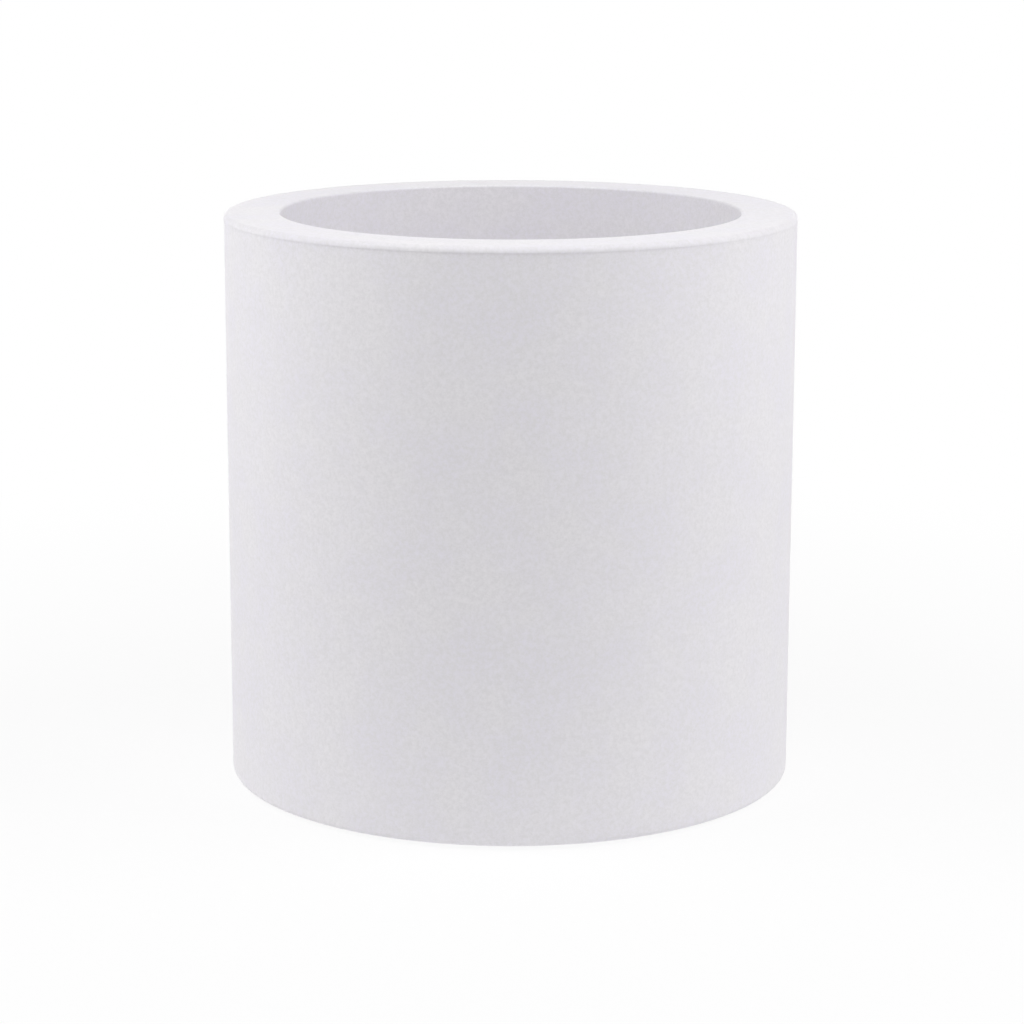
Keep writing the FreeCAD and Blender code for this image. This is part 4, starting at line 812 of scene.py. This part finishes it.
def studioFloor(look):
    bm = bmesh.new()
    bmesh.ops.create_grid(bm, x_segments=look["cells"], y_segments=look["cells"], size=look["half"],
                          matrix=Matrix.Translation((0, 0, look["level"])))
    floor = newPiece("studioFloor", bm)
    finish, shader, place = startFinish("studioFloor", {
        "Roughness": look["rough"], "Specular IOR Level": look["gloss"]})
    reach = place.length()
    rays = place.node("ShaderNodeLightPath", out="Is Camera Ray")
    seen = rays.sum("MAXIMUM", rays, place.node("ShaderNodeLightPath", out="Is Glossy Ray"))
    shine = between(look["lift"], reach.within(*look["liftReach"]))
    bounce = between(look["bounce"], reach.within(*look["bounceReach"]))
    lift = seen * shine + (1 - seen) * bounce
    cloth = place.noise(*look["cloth"])
    dress(shader, {"Base Color": cloth.blend(tone(look["colour"], look["clothShare"]), tone(look["colour"]))})
    white = place.node("ShaderNodeEmission", None, {"Color": (1, 1, 1, 1), "Strength": 1.0})
    matt = Wire(place.tree, shader.outputs[0])
    lifted = place.node("ShaderNodeMixShader", None, {0: lift, 1: matt, 2: white})
    below = place.node("ShaderNodeNewGeometry", out="Backfacing")
    clear = place.node("ShaderNodeBsdfTransparent")
    shown = place.node("ShaderNodeMixShader", None, {0: below, 1: lifted, 2: clear})
    place.tree.links.new(shown.socket, place.tree.nodes["Material Output"].inputs["Surface"])
    floor.data.materials.append(finish)


studioFloor(floorLook)

lampLook = {
    "left": {"spot": (-2.5, 0.8, 0.75), "aim": (0, 0, 0.25), "size": (2.2, 1.4), "power": 14.0},
    "right": {"spot": (2.5, 0.8, 0.75), "aim": (0, 0, 0.25), "size": (2.2, 1.4), "power": 10.0},
    "leftHigh": {"spot": (-2.0, -0.4, 2.6), "aim": (0, 0, 0.5), "size": (1.6, 1.6), "power": 36.5},
    "rightHigh": {"spot": (2.0, -0.4, 2.6), "aim": (0, 0, 0.5), "size": (1.6, 1.6), "power": 36.5},
    "leftFront": {"spot": (-2.4, -1.8, 1.5), "aim": (0, 0, 0.3), "size": (1.8, 1.8), "power": 10.5},
    "rightFront": {"spot": (2.4, -1.8, 1.5), "aim": (0, 0, 0.3), "size": (1.8, 1.8), "power": 15.0},
    "high": {"spot": (0, -2.2, 2.8), "aim": (0, 0, 0.3), "size": (2.4, 1.6), "power": 32.0},
    "rear": {"spot": (0, 3.4, 0.8), "aim": (0, 0, 0.3), "size": (3.0, 1.2), "power": 28.0},
}
for name, look in lampLook.items():
    lamp = bpy.data.lights.new(name, "AREA")
    lamp.shape = "RECTANGLE"
    lamp.size, lamp.size_y = look["size"]
    lamp.energy = look["power"]
    holder = bpy.data.objects.new(name + "Softbox", lamp)
    aim = Vector(look["aim"]) - Vector(look["spot"])
    holder.location = look["spot"]
    holder.rotation_euler = aim.to_track_quat("-Z", "Y").to_euler()
    holder.visible_camera = False
    bpy.context.scene.collection.objects.link(holder)

roomLook = {"colour": (1, 1, 1, 1), "strength": 0.015}
room = bpy.data.worlds.new("room")
bpy.context.scene.world = room
room.use_nodes = True
room.node_tree.nodes.clear()
air = Wire(room.node_tree)
cameraRay = air.node("ShaderNodeLightPath", out="Is Camera Ray")
glossyRay = air.node("ShaderNodeLightPath", out="Is Glossy Ray")
clearRay = air.node("ShaderNodeLightPath", out="Is Transmission Ray")
direct = cameraRay.sum("MAXIMUM", cameraRay.sum("MAXIMUM", cameraRay, glossyRay), clearRay)
soft = air.node("ShaderNodeBackground", None, {"Color": roomLook["colour"], "Strength": roomLook["strength"]})
white = air.node("ShaderNodeBackground", None, {"Color": (1, 1, 1, 1), "Strength": 1.0})
sky = air.node("ShaderNodeMixShader", None, {0: direct, 1: soft, 2: white})
outlet = room.node_tree.nodes.new("ShaderNodeOutputWorld")
room.node_tree.links.new(sky.socket, outlet.inputs["Surface"])
print("lamps:", len(lampLook))

cameraLook = {
    "spot": (0, -3.223, 0.981), "down": 12.28, "turn": -0.00061, "roll": 0.0022,
    "lens": 108.38, "film": 36.0, "far": 200.0,
}
eye = bpy.data.cameras.new("camera")
eye.lens = cameraLook["lens"]
eye.sensor_width = cameraLook["film"]
eye.clip_end = cameraLook["far"]
camera = bpy.data.objects.new("camera", eye)
camera.matrix_world = (Matrix.Translation(cameraLook["spot"]) @ Matrix.Rotation(cameraLook["turn"], 4, "Z") @
                       Matrix.Rotation(math.radians(90 - cameraLook["down"]), 4, "X") @
                       Matrix.Rotation(cameraLook["roll"], 4, "Z"))
bpy.context.scene.collection.objects.link(camera)
bpy.context.scene.camera = camera
bpy.context.scene.view_settings.view_transform = "Standard"

bpy.context.view_layer.update()
